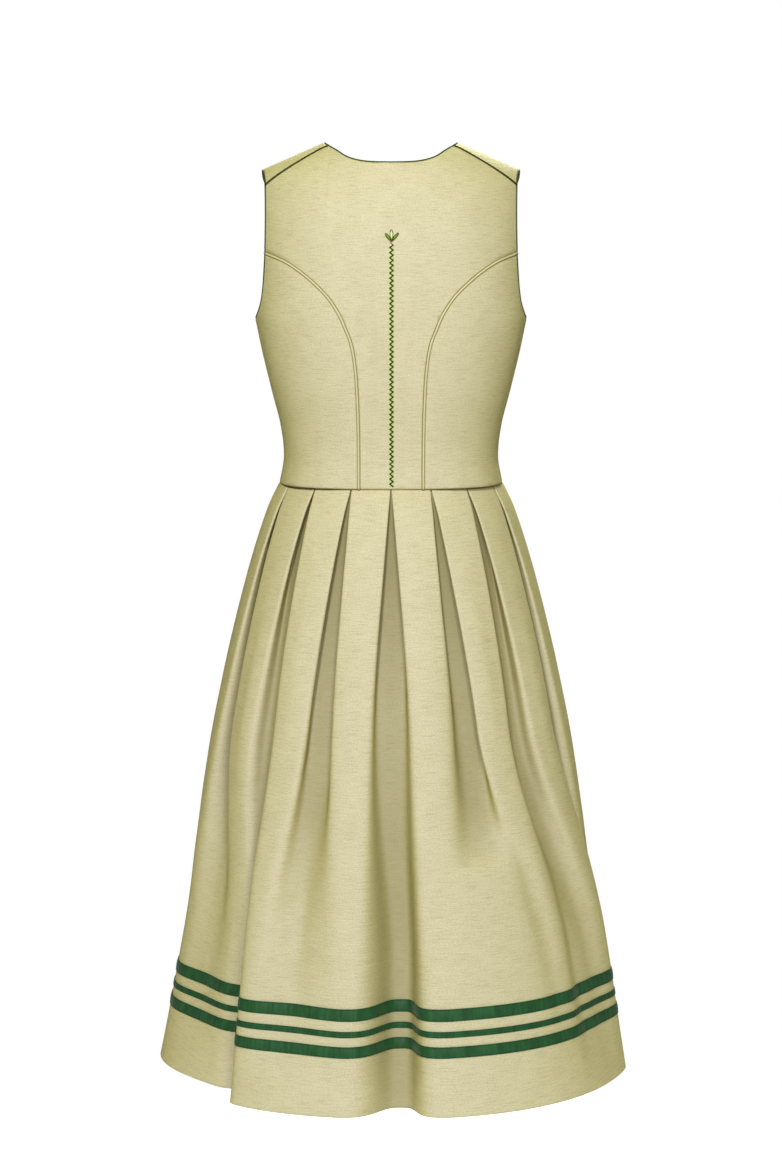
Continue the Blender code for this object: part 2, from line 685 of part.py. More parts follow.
def build_ribbons(lines, collection):
    """Closed bands over one stretch of the skirt, made from its own points, moved out."""
    upper_drop, lower_drop = SKIRT_RINGS[-3].drop, SKIRT_RINGS[-2].drop
    for ribbon in RIBBONS:
        walls = []
        for lift in (SKIRT_WALL / 2 + RIBBON_LIFT + RIBBON_WALL, SKIRT_WALL / 2 + RIBBON_LIFT):
            upper, lower = offset_ring(lines[-3], lift), offset_ring(lines[-2], lift)
            rows = []
            for above in (ribbon.above_hem + ribbon.width, ribbon.above_hem):
                part = (HEM_DROP - above - upper_drop) / (lower_drop - upper_drop)
                rows.append([high.lerp(low, part) for high, low in zip(upper, lower)])
            walls.append(rows)
        add_walled(ribbon.name, *walls, GREEN_SATIN, collection, closed=True)


def build():
    for item in list(bpy.data.objects):
        bpy.data.objects.remove(item)
    collection = bpy.data.collections.new("dirndl_dress")
    bpy.context.scene.collection.children.link(collection)
    build_bodice(collection)
    build_cords(collection)
    build_ribbons(build_skirt(collection), collection)


build()
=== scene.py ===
"""Looks of a sleeveless dirndl dress in beige linen, filled out as worn, its back to the camera.

Each cut piece is a thin shell of cloth on its solid's form, with the piping, the satin ribbons
and the embroidery laid on it.  Metres, +Z up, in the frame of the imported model.
"""
import math
from collections import namedtuple

import bpy
import numpy as np
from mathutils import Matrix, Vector


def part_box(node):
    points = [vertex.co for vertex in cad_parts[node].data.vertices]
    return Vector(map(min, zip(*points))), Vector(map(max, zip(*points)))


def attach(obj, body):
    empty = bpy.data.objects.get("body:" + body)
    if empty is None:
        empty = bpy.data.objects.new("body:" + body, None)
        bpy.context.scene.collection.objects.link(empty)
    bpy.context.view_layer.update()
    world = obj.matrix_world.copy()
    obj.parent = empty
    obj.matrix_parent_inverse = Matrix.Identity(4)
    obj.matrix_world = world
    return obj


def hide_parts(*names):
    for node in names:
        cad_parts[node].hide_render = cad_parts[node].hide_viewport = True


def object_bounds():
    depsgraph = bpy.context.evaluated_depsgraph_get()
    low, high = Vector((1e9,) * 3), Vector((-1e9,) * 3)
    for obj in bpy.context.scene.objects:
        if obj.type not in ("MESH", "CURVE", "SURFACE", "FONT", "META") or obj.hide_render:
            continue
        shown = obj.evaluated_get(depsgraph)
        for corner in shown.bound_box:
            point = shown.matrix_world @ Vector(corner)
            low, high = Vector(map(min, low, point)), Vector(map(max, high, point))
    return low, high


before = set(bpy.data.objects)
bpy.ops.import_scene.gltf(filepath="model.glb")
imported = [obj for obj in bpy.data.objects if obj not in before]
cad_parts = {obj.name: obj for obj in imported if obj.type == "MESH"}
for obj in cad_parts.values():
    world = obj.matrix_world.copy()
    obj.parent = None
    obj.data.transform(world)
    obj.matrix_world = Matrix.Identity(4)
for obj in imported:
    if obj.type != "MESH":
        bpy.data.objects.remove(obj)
CAD_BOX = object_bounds()

# ---- driving sizes
WAIST_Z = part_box("skirt_back")[1].z
CHEST_RISE = 0.183          # underarm above the waist seam
NECK_RISE = 0.375           # shoulder line at the neck
NECK_HALF = 0.0745          # from the centre to where the shoulder line starts
SHOULDER_SLOPE = 0.43       # how fast that line falls outwards from there
COLLAR_SLOPE = 0.25         # and how fast it rises inwards
GIRTH_SQUARENESS = 2.4      # 2 is a plain oval, more is squarer
SHOULDER_SQUARENESS = 2.6
BUST_OUT = 0.016            # the front's swell: how far out, its middle and its reach
BUST_SIDEWAYS = 0.082
BUST_RISE = 0.155
BUST_SPREAD = 0.052
EDGE_HOLD = 4               # how fast the bend of a panel's bottom and top edges fades inside it
ARMHOLE_ACROSS = 0.150      # the middle of the armhole's opening
ARMHOLE_RISE = 0.260

BODICE_CLOTH = 0.0009
SKIRT_CLOTH = 0.0008
RIBBON_CLOTH = 0.0004
EDGE_ROLL = 0.0010          # how deep a panel's edge turns into its seam
EDGE_TURN = 0.0020          # how far from its edge a panel starts to turn in

PLEATS = 16
SKIRT_ROUND = 1.81          # the flat length of cloth pleated into the waist
CLOTH_PITCH = SKIRT_ROUND / PLEATS
CREASE_PITCH = 0.0016       # from one folded layer to the next at the waist
FOLD_APART = 0.0008         # half the gap between two folds that meet
HEM_DROP = 0.652
VALLEY_HANG = 0.06          # how much lower each metre of inward fold brings the hem
MID_DROP = 0.250            # where the pleats' middle column holds
LOW_DROP = 0.500            # from here down their hem column holds
FOLD_DEPTHS = (0.011, 0.012, 0.045)     # how deep a fold sinks before its painted shade is darkest, at waist, middle and hem
FOLD_SHADES = (0.95, 0.56, 0.60)        # how dark that painted shade is there

# ---- bodice sections, seams, edges
Girth = namedtuple("Girth", "rise half_width back_depth front_depth")
BODICE_GIRTHS = [Girth(*row) for row in (
    (0.000, 0.1250, 0.0990, 0.0980),
    (0.030, 0.1200, 0.0965, 0.0960),
    (0.065, 0.1235, 0.0985, 0.1000),
    (0.100, 0.1322, 0.1030, 0.1060),
    (0.145, 0.1430, 0.1070, 0.1110),
    (0.183, 0.1508, 0.1090, 0.1120),
)]
Mark = namedtuple("Mark", "across rise face")
BACK, FRONT = -1, 1


def marked(face, *places):
    return [Mark(across, rise, face) for across, rise in places]


PRINCESS_BACK = marked(
    BACK, (0.035, 0), (0.0352, 0.055), (0.0362, 0.095), (0.0382, 0.128), (0.0425, 0.156),
    (0.0508, 0.178), (0.0575, 0.192), (0.07, 0.2095), (0.0915, 0.2295), (0.1135, 0.2445),
    (0.1375, 0.2545),
)
PRINCESS_FRONT = marked(
    FRONT, (0.048, 0), (0.053, 0.05), (0.064, 0.1), (0.079, 0.145), (0.089, 0.18),
    (0.105, 0.215), (0.133, 0.245),
)
ARMHOLE_BACK_LOW = marked(
    BACK, (0.1508, 0.183), (0.148, 0.187), (0.143, 0.2), (0.1402, 0.2165),
    (0.1383, 0.24), (0.1375, 0.2545),
)
ARMHOLE_BACK_HIGH = marked(
    BACK, (0.1375, 0.2545), (0.137, 0.28), (0.137, 0.305), (0.1376, 0.3285),
)
ARMHOLE_FRONT_LOW = marked(
    FRONT, (0.1508, 0.183), (0.147, 0.188), (0.14, 0.205), (0.1355, 0.225),
    (0.133, 0.245),
)
ARMHOLE_FRONT_HIGH = marked(
    FRONT, (0.133, 0.245), (0.1318, 0.275), (0.135, 0.31), (0.1425, 0.34),
) + marked(
    BACK, (0.1376, 0.3285),
)
NECK_BACK = marked(
    BACK, (0, 0.351), (0.023, 0.3518), (0.0371, 0.354), (0.049, 0.3582),
    (0.059, 0.365), (0.0678, 0.3705),
)
NECK_FRONT = marked(
    FRONT, (0, 0.275), (0.025, 0.279), (0.045, 0.292), (0.06, 0.315),
    (0.068, 0.34), (0.0735, 0.368),
) + marked(
    BACK, (0.0725, 0.374), (0.0678, 0.3705),
)

# Soft hollows and swells that the body presses into the bodice.
# across, rise and face: their middle; wide and high: their reach; out: how far they stand out.
Swell = namedtuple("Swell", "across rise face wide high out")
SWELLS = [Swell(*row) for row in (
    (-0.0800, 0.295, BACK, 0.030, 0.030, 0.0020),
    (0.0800, 0.295, BACK, 0.030, 0.030, 0.0020),
    (0.0000, 0.200, BACK, 0.014, 0.090, -0.0020),
    (-0.0900, 0.060, BACK, 0.020, 0.020, -0.0008),
    (0.0880, 0.052, BACK, 0.022, 0.016, -0.0010),
    (-0.1000, 0.100, FRONT, 0.020, 0.020, -0.0008),
    (0.0960, 0.095, FRONT, 0.022, 0.018, -0.0010),
)]

# ---- skirt sections and pleats
Ring = namedtuple("Ring", "drop half_width back_depth front_depth fold rounding")
SKIRT_RINGS = [Ring(*row) for row in (
    (0.000, 0.1250, 0.0990, 0.0980, 0.0016, 0.0004),
    (0.030, 0.1390, 0.1135, 0.1120, 0.0017, 0.0005),
    (0.100, 0.1615, 0.1380, 0.1370, 0.0022, 0.0008),
    (0.200, 0.1870, 0.1650, 0.1640, 0.0036, 0.0016),
    (0.340, 0.2165, 0.1960, 0.1950, 0.0070, 0.0036),
    (0.538, 0.2545, 0.2310, 0.2300, 0.0110, 0.0070),
    (HEM_DROP, 0.2745, 0.2480, 0.2470, 0.0115, 0.0080),
)]

# One row for each pleat, from the centre back towards the wearer's right and all the way round.
# share: its part of the ring, 1 being a sixteenth; lean: how far the pleat's floor slips
# sideways for each metre of depth; sink: extra depth of the floor; stand: how far the panel
# after the pleat stands out; soft: how much rounder its folds are than the ring's.
Pleat = namedtuple(
    "Pleat", "share_mid share_hem lean_mid lean_hem sink_hem stand_mid stand_hem soft_mid soft_hem"
)
PLEAT_ROWS = [Pleat(*row) for row in (
    (1.16, 1.10, 0.00, 0.25, 0.034, 0.002, 0.012, 1.0, 0.4),
    (0.96, 1.60, 0.80, 0.10, 0.000, 0.004, 0.015, 1.4, 3.2),
    (1.00, 1.16, -0.10, 0.10, 0.002, 0.002, 0.008, 1.0, 3.2),
    (0.96, 0.72, -0.40, -0.50, 0.008, 0.000, -0.010, 1.0, 0.8),
    (1.00, 1.02, 0.00, 0.00, 0.000, 0.000, 0.000, 1.0, 3.0),
    (0.98, 1.00, 0.10, 0.20, 0.004, 0.002, 0.008, 1.2, 1.2),
    (1.04, 0.92, -0.10, -0.30, 0.010, 0.000, 0.000, 1.0, 1.0),
    (0.98, 1.08, 0.00, 0.10, 0.000, 0.003, 0.010, 1.3, 1.8),
    (1.06, 0.90, 0.10, 0.20, 0.012, 0.002, 0.008, 1.0, 1.0),
    (0.96, 1.08, 0.00, 0.00, 0.000, 0.003, 0.012, 1.2, 1.8),
    (1.02, 0.96, -0.10, -0.20, 0.008, 0.000, 0.000, 1.0, 1.2),
    (0.98, 1.00, 0.10, 0.10, 0.002, 0.000, -0.008, 1.0, 1.8),
    (1.00, 1.14, 0.00, 0.00, 0.000, 0.000, -0.006, 1.0, 3.2),
    (0.96, 1.18, 0.30, 0.00, 0.000, 0.000, -0.022, 1.0, 3.2),
    (1.00, 0.74, 0.35, 0.60, 0.004, 0.004, 0.015, 1.0, 0.7),
    (0.94, 1.18, -0.10, -0.50, 0.000, 0.002, 0.010, 1.4, 3.0),
)]
LEFT_SIDE_PLEAT, RIGHT_SIDE_PLEAT = 12, 4      # the skirt's side seams hide in these

# Soft troughs and ridges that hang down the skirt.
# at: pleats round from the centre back; top and foot: where they start and end; drift: how far
# they wander sideways on the way, in pleats; wide: their reach to each side; out: their height.
Crease = namedtuple("Crease", "at drift top foot wide out")
CREASES = [Crease(*row) for row in (
    (0.50, 0.04, 0.02, 0.40, 0.016, 0.0030),
    (1.46, 0.04, 0.04, 0.34, 0.012, 0.0022),
    (2.52, 0.02, 0.05, 0.40, 0.014, 0.0026),
    (-0.50, -0.04, 0.02, 0.38, 0.016, 0.0026),
    (-1.50, -0.04, 0.03, 0.34, 0.014, 0.0026),
    (-2.46, 0.02, 0.05, 0.42, 0.012, 0.0024),
    (1.30, 0.26, 0.30, 0.62, 0.012, -0.0050),
    (1.74, 0.10, 0.36, 0.66, 0.013, -0.0040),
    (-0.98, 0.02, 0.28, 0.60, 0.012, -0.0040),
    (4.60, 0.06, 0.26, 0.60, 0.014, -0.0040),
    (6.48, -0.05, 0.06, 0.46, 0.014, 0.0030),
    (7.44, 0.10, 0.30, 0.62, 0.013, -0.0045),
    (8.52, 0.03, 0.04, 0.44, 0.015, 0.0028),
    (9.40, -0.08, 0.32, 0.64, 0.012, -0.0045),
    (10.52, 0.02, 0.05, 0.46, 0.014, 0.0026),
    (11.42, -0.06, 0.28, 0.60, 0.013, -0.0040),
)]

Ribbon = namedtuple("Ribbon", "name above_hem width stitch_lines")
RIBBONS = [Ribbon(*row) for row in (
    ("bottom", 0.0620, 0.0120, (0.0011, 0.0109)),
    ("middle", 0.0835, 0.0065, (0.0009, 0.00325, 0.0056)),
    ("top", 0.1005, 0.0130, (0.0011, 0.0119)),
)]


# ---- small helpers
def signed_power(value, power):
    return math.copysign(abs(value) ** power, value)


def smooth(low, high, value):
    part = np.clip((value - low) / (high - low), 0.0, 1.0)
    return part * part * (3.0 - 2.0 * part)


def through(rows, keys, key):
    """Smooth curve through the rows, read at a key: the rows' values, one by one."""
    if key <= keys[0]:
        return tuple(rows[0])
    if key >= keys[-1]:
        return tuple(rows[-1])
    i = max(j for j in range(len(keys) - 1) if keys[j] <= key)
    span = keys[i + 1] - keys[i]
    part = (key - keys[i]) / span

    def slope(j, column):
        low, high = max(j - 1, 0), min(j + 1, len(rows) - 1)
        return (rows[high][column] - rows[low][column]) / (keys[high] - keys[low])

    values = []
    for column in range(len(rows[0])):
        start, end = rows[i][column], rows[i + 1][column]
        values.append(
            start * (1 + 2 * part) * (1 - part) ** 2
            + end * part * part * (3 - 2 * part)
            + slope(i, column) * span * part * (1 - part) ** 2
            - slope(i + 1, column) * span * part * part * (1 - part)
        )
    return tuple(values)


def even(count):
    return [i / count for i in range(count + 1)]


def unit(vectors):
    return vectors / np.linalg.norm(vectors, axis=-1, keepdims=True)


def running_length(line):
    """How far along the line each of its points lies."""
    steps = np.linalg.norm(np.diff(np.asarray(line, float), axis=0), axis=1)
    return np.concatenate([[0.0], np.cumsum(steps)])


# ---- the bodice's surface
def shoulder_rise(across):
    beyond = abs(across) - NECK_HALF
    return NECK_RISE - (SHOULDER_SLOPE if beyond > 0 else COLLAR_SLOPE) * beyond


def girth(rise):
    return Girth(*through(BODICE_GIRTHS, [row.rise for row in BODICE_GIRTHS], rise))


def way_up(mark, home):
    """How far up its face a mark lies: 1 at the chest, 2 on the shoulder line, more past it."""
    if mark.rise <= CHEST_RISE:
        way = mark.rise / CHEST_RISE
    else:
        part = (mark.rise - CHEST_RISE) / (shoulder_rise(mark.across) - CHEST_RISE)
        way = 1 + 2 / math.pi * math.asin(min(1.0, part) ** (SHOULDER_SQUARENESS / 2))
    return way if mark.face == home else 4 - way


def turn_of(across, way):
    """Angle round the body, from 0 at its centre line to a right angle at its side."""
    low_way = min(way, 4 - way, 1)
    part = min(1.0, abs(across) / girth(low_way * CHEST_RISE).half_width)
    return math.copysign(math.asin(part ** (GIRTH_SQUARENESS / 2)), across)


def body_point(turn, way, home):
    """A point on the outside of the bodice."""
    face = home
    if way > 2:
        way, face = 4 - way, -home
    rise = min(way, 1) * CHEST_RISE
    size = girth(rise)
    across = size.half_width * signed_power(math.sin(turn), 2 / GIRTH_SQUARENESS)
    depth = size.back_depth if face == BACK else size.front_depth
    depth *= signed_power(math.cos(turn), 2 / GIRTH_SQUARENESS)
    if way > 1:
        arch = (way - 1) * math.pi / 2
        top = shoulder_rise(across)
        rise += (top - CHEST_RISE) * math.sin(arch) ** (2 / SHOULDER_SQUARENESS)
        depth *= signed_power(math.cos(arch), 2 / SHOULDER_SQUARENESS)
    if face == FRONT:
        sideways = (abs(across) - BUST_SIDEWAYS) / BUST_SPREAD
        upwards = (rise - BUST_RISE) / BUST_SPREAD
        depth += BUST_OUT * math.exp(-sideways ** 2 - upwards ** 2) * math.cos(turn)
    for swell in SWELLS:
        if swell.face == face:
            sideways = (across - swell.across) / swell.wide
            upwards = (rise - swell.rise) / swell.high
            depth += swell.out * math.exp(-sideways ** 2 - upwards ** 2)
    return Vector((across, face * depth, WAIST_Z + rise))


def body_normal(turn, way, home):
    """Outward direction of the bodice's surface."""
    step = 0.004
    along = body_point(turn + step, way, home) - body_point(turn - step, way, home)
    up = body_point(turn, way + step, home) - body_point(turn, way - step, home)
    normal = along.cross(up).normalized()
    middle = Vector((0, 0, WAIST_Z + CHEST_RISE))
    outwards = body_point(turn, way, home) - middle
    return normal if normal.dot(outwards) > 0 else -normal


def edge(marks, shares, side, home):
    """A seam or edge through its marks, as (turn, way) at each share of its length."""
    one_face = all(mark.face == marks[0].face for mark in marks)
    if one_face:
        rows = [(mark.across, mark.rise) for mark in marks]
    else:
        rows = [(mark.across, way_up(mark, home) * CHEST_RISE) for mark in marks]
    keys = running_length(rows)
    places = []
    for share in shares:
        across, up = through(rows, keys, keys[-1] * share)
        way = way_up(Mark(across, up, marks[0].face), home) if one_face else up / CHEST_RISE
        places.append((turn_of(side * across, way), way))
    return places


def read_at(line, keys, reach, corners):
    """The line's places as far along it as each reach says, its corners kept."""
    for corner in corners:
        reach[np.abs(reach - keys[corner]).argmin()] = keys[corner]
    return np.stack([np.interp(reach, keys, column) for column in np.transpose(line)], axis=1)


def respaced(line, shares, corners=()):
    """The same line of places, read at shares of its running length."""
    keys = running_length(line)
    return read_at(line, keys, np.array(shares) * keys[-1], corners)


def side_seam(shares, side):
    return [(side * math.pi / 2, share) for share in shares]


def level(start, end, shares):
    return [tuple(a + (b - a) * share for a, b in zip(start, end)) for share in shares]


def fill(bottom, top, left, right, shares_across, shares_up):
    """Rows of places across from left to right, bent to the bottom and top edges near them."""
    rows = []
    bottom, top = np.array(bottom), np.array(top)
    u = np.array(shares_across)[:, None]
    low_bend = bottom - (1 - u) * bottom[0] - u * bottom[-1]
    high_bend = top - (1 - u) * top[0] - u * top[-1]
    for v, west, east in zip(shares_up, left, right):
        straight = (1 - u) * np.array(west) + u * np.array(east)
        rows.append(straight + (1 - v) ** EDGE_HOLD * low_bend + v ** EDGE_HOLD * high_bend)
    return rows


# ---- the skirt's surface
def oval(size):
    """Angles round a ring from the centre back, and the running length at each."""
    angles = np.linspace(0.0, math.tau, 1025)
    depth = np.where(np.cos(angles) > 0, size.back_depth, size.front_depth)
    line = np.stack([size.half_width * np.sin(angles), -depth * np.cos(angles)], axis=1)
    return angles, running_length(line)


def on_oval(size, angles, runs, along, out):
    """Points that lie along the ring and out from it."""
    turn = np.interp(np.mod(along, runs[-1]), runs, angles)
    depth = np.where(np.cos(turn) > 0, size.back_depth, size.front_depth)
    x, y = size.half_width * np.sin(turn), -depth * np.cos(turn)
    nx, ny = np.sin(turn) / size.half_width, -np.cos(turn) / depth
    length = np.hypot(nx, ny)
    return x + nx / length * out, y + ny / length * out


def by_height(drop, waist, mid, hem):
    upper = smooth(0.0, MID_DROP, drop)
    lower = smooth(MID_DROP, LOW_DROP, drop)
    return waist + (mid - waist) * upper + (hem - mid) * lower


def open_pleat(pitch, waist_pitch, fold):
    """Half a pleat from its floor's centre out, as (cloth, along, depth) at its four corners.

    The cloth keeps its length: the more the pitch opens, the less the folds turn.
    """
    loosened = fold - CREASE_PITCH
    panel = waist_pitch / 2 - FOLD_APART
    tuck = (CLOTH_PITCH / 2 - 2 * CREASE_PITCH - panel - FOLD_APART) / 2
    panel -= loosened / 2
    floor = tuck + FOLD_APART - loosened / 2
    back = tuck - loosened
    low, high = 0.0, math.pi
    for _ in range(30):
        bend = (low + high) / 2
        reach = floor + 2 * fold * math.cos(bend / 2) + back * math.cos(bend) + panel
        if reach > pitch / 2:
            low = bend
        else:
            high = bend
    along, depth, run = floor, 0.0, floor
    corners = [(run, along, depth)]
    for length, heading in ((fold, bend / 2), (back, bend), (fold, bend / 2)):
        along += length * math.cos(heading)
        depth += length * math.sin(heading)
        run += length
        corners.append((run, along, depth))
    return [(run, along, height - depth) for run, along, height in corners]


FINE_STEPS = 3620           # round the skirt
FINE_STEP = SKIRT_ROUND / FINE_STEPS
FINE_RUNS = np.arange(FINE_STEPS) * FINE_STEP
ROUNDINGS = (0.0004, 0.0008, 0.0016, 0.0032, 0.0064, 0.0128, 0.0256)
FLOOR_SHARE = (0.45, 0.85)      # over this part of a pleat the extra depth of its floor fades


def round_skirt(places, runs, values):
    """Values given at some runs of the skirt's cloth, read at other places round it."""
    return np.interp(places, runs, values, period=SKIRT_ROUND)


def rounded(values, reach):
    """A line round the skirt with its corners eased, each part by its own reach."""
    waves = np.fft.rfftfreq(len(values), FINE_STEP)
    spectrum = np.fft.rfft(values)
    eased = [np.fft.irfft(spectrum * np.exp(-2 * (math.pi * waves * r) ** 2)) for r in ROUNDINGS]
    place = np.clip(np.log2(reach / ROUNDINGS[0]), 0, len(ROUNDINGS) - 1.001)
    lower = place.astype(int)
    part = place - lower
    eased, index = np.array(eased), np.arange(len(values))
    return eased[lower, index] * (1 - part) + eased[lower + 1, index] * part


def crease_out(drop):
    """How far the soft troughs and ridges move the cloth at a height."""
    out = np.zeros_like(FINE_RUNS)
    for crease in CREASES:
        if crease.top < drop < crease.foot:
            part = (drop - crease.top) / (crease.foot - crease.top)
            middle = (crease.at + crease.drift * part) * CLOTH_PITCH
            apart = np.mod(FINE_RUNS - middle + SKIRT_ROUND / 2, SKIRT_ROUND) - SKIRT_ROUND / 2
            out += crease.out * math.sin(math.pi * part) ** 2 * np.exp(-(apart / crease.wide) ** 2)
    return out


def skirt_size(drop):
    return Ring(*through(SKIRT_RINGS, [row.drop for row in SKIRT_RINGS], drop))


WAIST_PITCH = oval(skirt_size(0.0))[1][-1] / PLEATS


def pleat_corners(drop, size, around):
    """Each folded corner at a height: its run of cloth, place along the ring, way out, depth."""
    shares = [by_height(drop, 1.0, row.share_mid, row.share_hem) for row in PLEAT_ROWS]
    stands = [by_height(drop, 0.0, row.stand_mid, row.stand_hem) for row in PLEAT_ROWS]
    pitches = [around * share / sum(shares) for share in shares]
    centre, corners = 0.0, []
    for k, row in enumerate(PLEAT_ROWS):
        if k:
            centre += (pitches[k - 1] + pitches[k]) / 2
        lean = by_height(drop, 0.0, row.lean_mid, row.lean_hem)
        sink = by_height(drop, 0.0, 0.0, row.sink_hem)
        half = open_pleat(pitches[k], WAIST_PITCH, size.fold)
        for run, along, depth in [(-run, -along, depth) for run, along, depth in half[::-1]] + half:
            reach = run / half[-1][0]
            depth -= sink * (1 - smooth(*FLOOR_SHARE, abs(reach)))
            stand = stands[k - 1] * (1 - reach) / 2 + stands[k] * (1 + reach) / 2
            along += centre - lean * depth
            corners.append((k * CLOTH_PITCH + run, along, depth + stand, -depth))
    return np.array(corners).T


def skirt_row(drop):
    """The skirt's middle line at a height, at even steps of its cloth: x, y, z and the painted
    shade of its folds.
    """
    size = skirt_size(drop)
    angles, ring_runs = oval(size)
    stretch = ring_runs[-1] / SKIRT_ROUND
    runs, along, out, sunk = pleat_corners(drop, size, ring_runs[-1])
    softness = [by_height(drop, 1.0, row.soft_mid, row.soft_hem) for row in PLEAT_ROWS]
    reach = size.rounding * round_skirt(FINE_RUNS, np.arange(PLEATS) * CLOTH_PITCH, softness)
    along, out, sunk = (
        rounded(round_skirt(FINE_RUNS, runs, values), reach)
        for values in (along - runs * stretch, out, sunk)
    )
    out += crease_out(drop) - EDGE_ROLL * (1 - smooth(0.0, EDGE_TURN, drop))
    # painted shade deep in the pleats' folds, darker the deeper the cloth sinks
    shade = smooth(0.0, by_height(drop, *FOLD_DEPTHS), sunk) * by_height(drop, *FOLD_SHADES)
    x, y = on_oval(size, angles, ring_runs, along + FINE_RUNS * stretch, out)
    return x, y, WAIST_Z - drop + VALLEY_HANG * out * drop / HEM_DROP, shade


def skirt_grid(drops, cloth_runs, lift=0.0):
    """Points on the skirt for each drop and each run of its cloth, moved out by the lift.

    The fourth value of each is how much painted shade its fold takes.
    """
    rows = []
    for drop in drops:
        x, y, z, shade = skirt_row(drop)
        if lift:
            dx, dy = np.roll(x, -1) - np.roll(x, 1), np.roll(y, -1) - np.roll(y, 1)
            length = np.hypot(dx, dy)
            x, y = x + dy / length * lift, y - dx / length * lift
        columns = [round_skirt(cloth_runs, FINE_RUNS, values) for values in (x, y, z, shade)]
        rows.append(np.stack(columns, axis=1))
    return np.array(rows)


# ---- making pieces
def mesh_piece(name, points, faces):
    mesh = bpy.data.meshes.new(name)
    mesh.from_pydata(points.reshape(-1, 3).tolist(), [], faces)
    mesh.shade_smooth()
    mesh.update()
    item = bpy.data.objects.new(name, mesh)
    bpy.context.scene.collection.objects.link(item)
    return item


def grid_piece(name, grid, measure, outside=None, seam=None, capped=False):
    """A sheet through rows of points, its faces outwards, its cloth measure as its UV map.

    It closes on itself, along or across, where the measure has one more point than the grid.
    seam holds how much painted shade the material gives each point: in the grooves beside the seams
    and, on the skirt, deep in the pleats.
    """
    rows, columns = grid.shape[:2]
    tall, wide = measure.shape[:2]
    j, i = (v.ravel() for v in np.meshgrid(np.arange(tall - 1), np.arange(wide - 1), indexing="ij"))
    corners = ((j, i), (j + 1, i), (j + 1, i + 1), (j, i + 1))
    faces = np.stack([up % rows * columns + across % columns for up, across in corners], axis=1)
    places = np.stack([up * wide + across for up, across in corners], axis=1)
    caps = [list(range(columns)), [(rows - 1) * columns + n for n in range(columns)][::-1]]
    points = grid.reshape(-1, 3)
    p, q, r = points[faces[:, 0]], points[faces[:, 1]], points[faces[:, 3]]
    if outside is None:
        outside = points * (1.0, 1.0, 0.0)
    if (np.cross(q - p, r - p) * outside.reshape(-1, 3)[faces[:, 0]]).sum() < 0:
        faces, places = faces[:, ::-1], places[:, ::-1]
        caps = [cap[::-1] for cap in caps]
    cloth = measure.reshape(-1, 2)[places.ravel()]
    faces = faces.tolist()
    if capped:
        faces += caps
        cloth = np.concatenate([cloth, np.zeros((2 * columns, 2))])
    item = mesh_piece(name, points, faces)
    item.data.uv_layers.new(name="cloth").uv.foreach_set("vector", cloth.astype(np.float32).ravel())
    if seam is not None:
        # the painted shade goes into the mesh attribute named seam
        depth = item.data.attributes.new("seam", "FLOAT", "POINT")
        depth.data.foreach_set("value", seam.astype(np.float32).ravel())
    return item


def give_thickness(item, thickness, offset):
    shell = item.modifiers.new("cloth thickness", "SOLIDIFY")
    shell.thickness = thickness
    shell.offset = offset


def finish_piece(item, slot, node=None, material=None):
    item.data.materials.append(material or FINISHES[slot])
    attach(item, "root")
    if node:
        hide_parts(node)
    return item


CORD_SIDES = 10
CORD_JOIN = 0.002           # the cloth measure of a closed cord's last step, back to its start


def cord_piece(name, centres, ups, half_width, half_height, slot, closed=False):
    """A cord with an oval section along a line, its flat side down."""
    if closed:
        ahead = unit(np.roll(centres, -1, axis=0) - np.roll(centres, 1, axis=0))
    else:
        ahead = unit(np.gradient(centres, axis=0))
    across = unit(np.cross(ups, ahead))
    ups = np.cross(ahead, across)
    turns = (np.arange(CORD_SIDES) * math.tau / CORD_SIDES)[:, None]
    out = across[:, None] * np.cos(turns) * half_width + ups[:, None] * np.sin(turns) * half_height
    along = running_length(centres)
    if closed:
        along = np.append(along, along[-1] + CORD_JOIN)
    around = np.arange(CORD_SIDES + 1) * math.tau * half_width / CORD_SIDES
    measure = np.stack(np.meshgrid(along, around, indexing="ij"), axis=2)
    item = grid_piece("cord_" + name, centres[:, None] + out, measure, out, capped=not closed)
    return finish_piece(item, slot, name)


# each ring of a stitch: its share of the length, its thickness, the height of its arch
STITCH_RINGS = ((0.0, 0.35, -0.6), (0.22, 0.95, 0.35), (0.78, 0.95, 0.35), (1.0, 0.35, -0.6))


def stitches_piece(name, starts, ends, ups, radius, sides):
    """Many short stitches in one mesh, each a rounded thread that dips into the cloth."""
    ahead = unit(ends - starts)
    across = unit(np.cross(ups, ahead))
    turns = [math.tau * i / sides + math.pi / 2 for i in range(sides)]
    points = np.stack([
        starts + (ends - starts) * share + ups * radius * height
        + (across * math.cos(turn) + ups * math.sin(turn)) * radius * thick
        for share, thick, height in STITCH_RINGS for turn in turns
    ], axis=1)
    each = len(STITCH_RINGS) * sides
    shape = []
    for a in range(each - sides):
        b = a + 1 if (a + 1) % sides else a + 1 - sides
        shape.append((a, b, b + sides, a + sides))
    caps = [list(range(sides))[::-1], list(range(each - sides, each))]
    offsets = (np.arange(len(starts)) * each)[:, None, None]
    faces = []
    for part in (shape, caps):
        faces += (np.array(part) + offsets).reshape(-1, len(part[0])).tolist()
    return mesh_piece(name, points, faces)


# ---- cloth, cord and thread finishes
def feed(tree, node, values):
    """Sets a node's sockets, by number or name, or links them to another node's."""
    for key, value in values.items():
        if isinstance(value, bpy.types.NodeSocket):
            tree.links.new(value, node.inputs[key])
        else:
            node.inputs[key].default_value = value


def put(tree, kind, sockets=(), **settings):
    node = tree.nodes.new(kind)
    for key, value in settings.items():
        setattr(node, key, value)
    feed(tree, node, dict(sockets))
    return node


def sums(tree, operation, *values, clamp=False):
    sockets = enumerate(values)
    return put(tree, "ShaderNodeMath", sockets, operation=operation, use_clamp=clamp).outputs[0]


def weighted(tree, *parts, clamp=False):
    """The sum of the parts, each times its own weight."""
    total = 0.0
    for value, weight in parts:
        total = sums(tree, "MULTIPLY_ADD", value, weight, total, clamp=clamp)
    return total


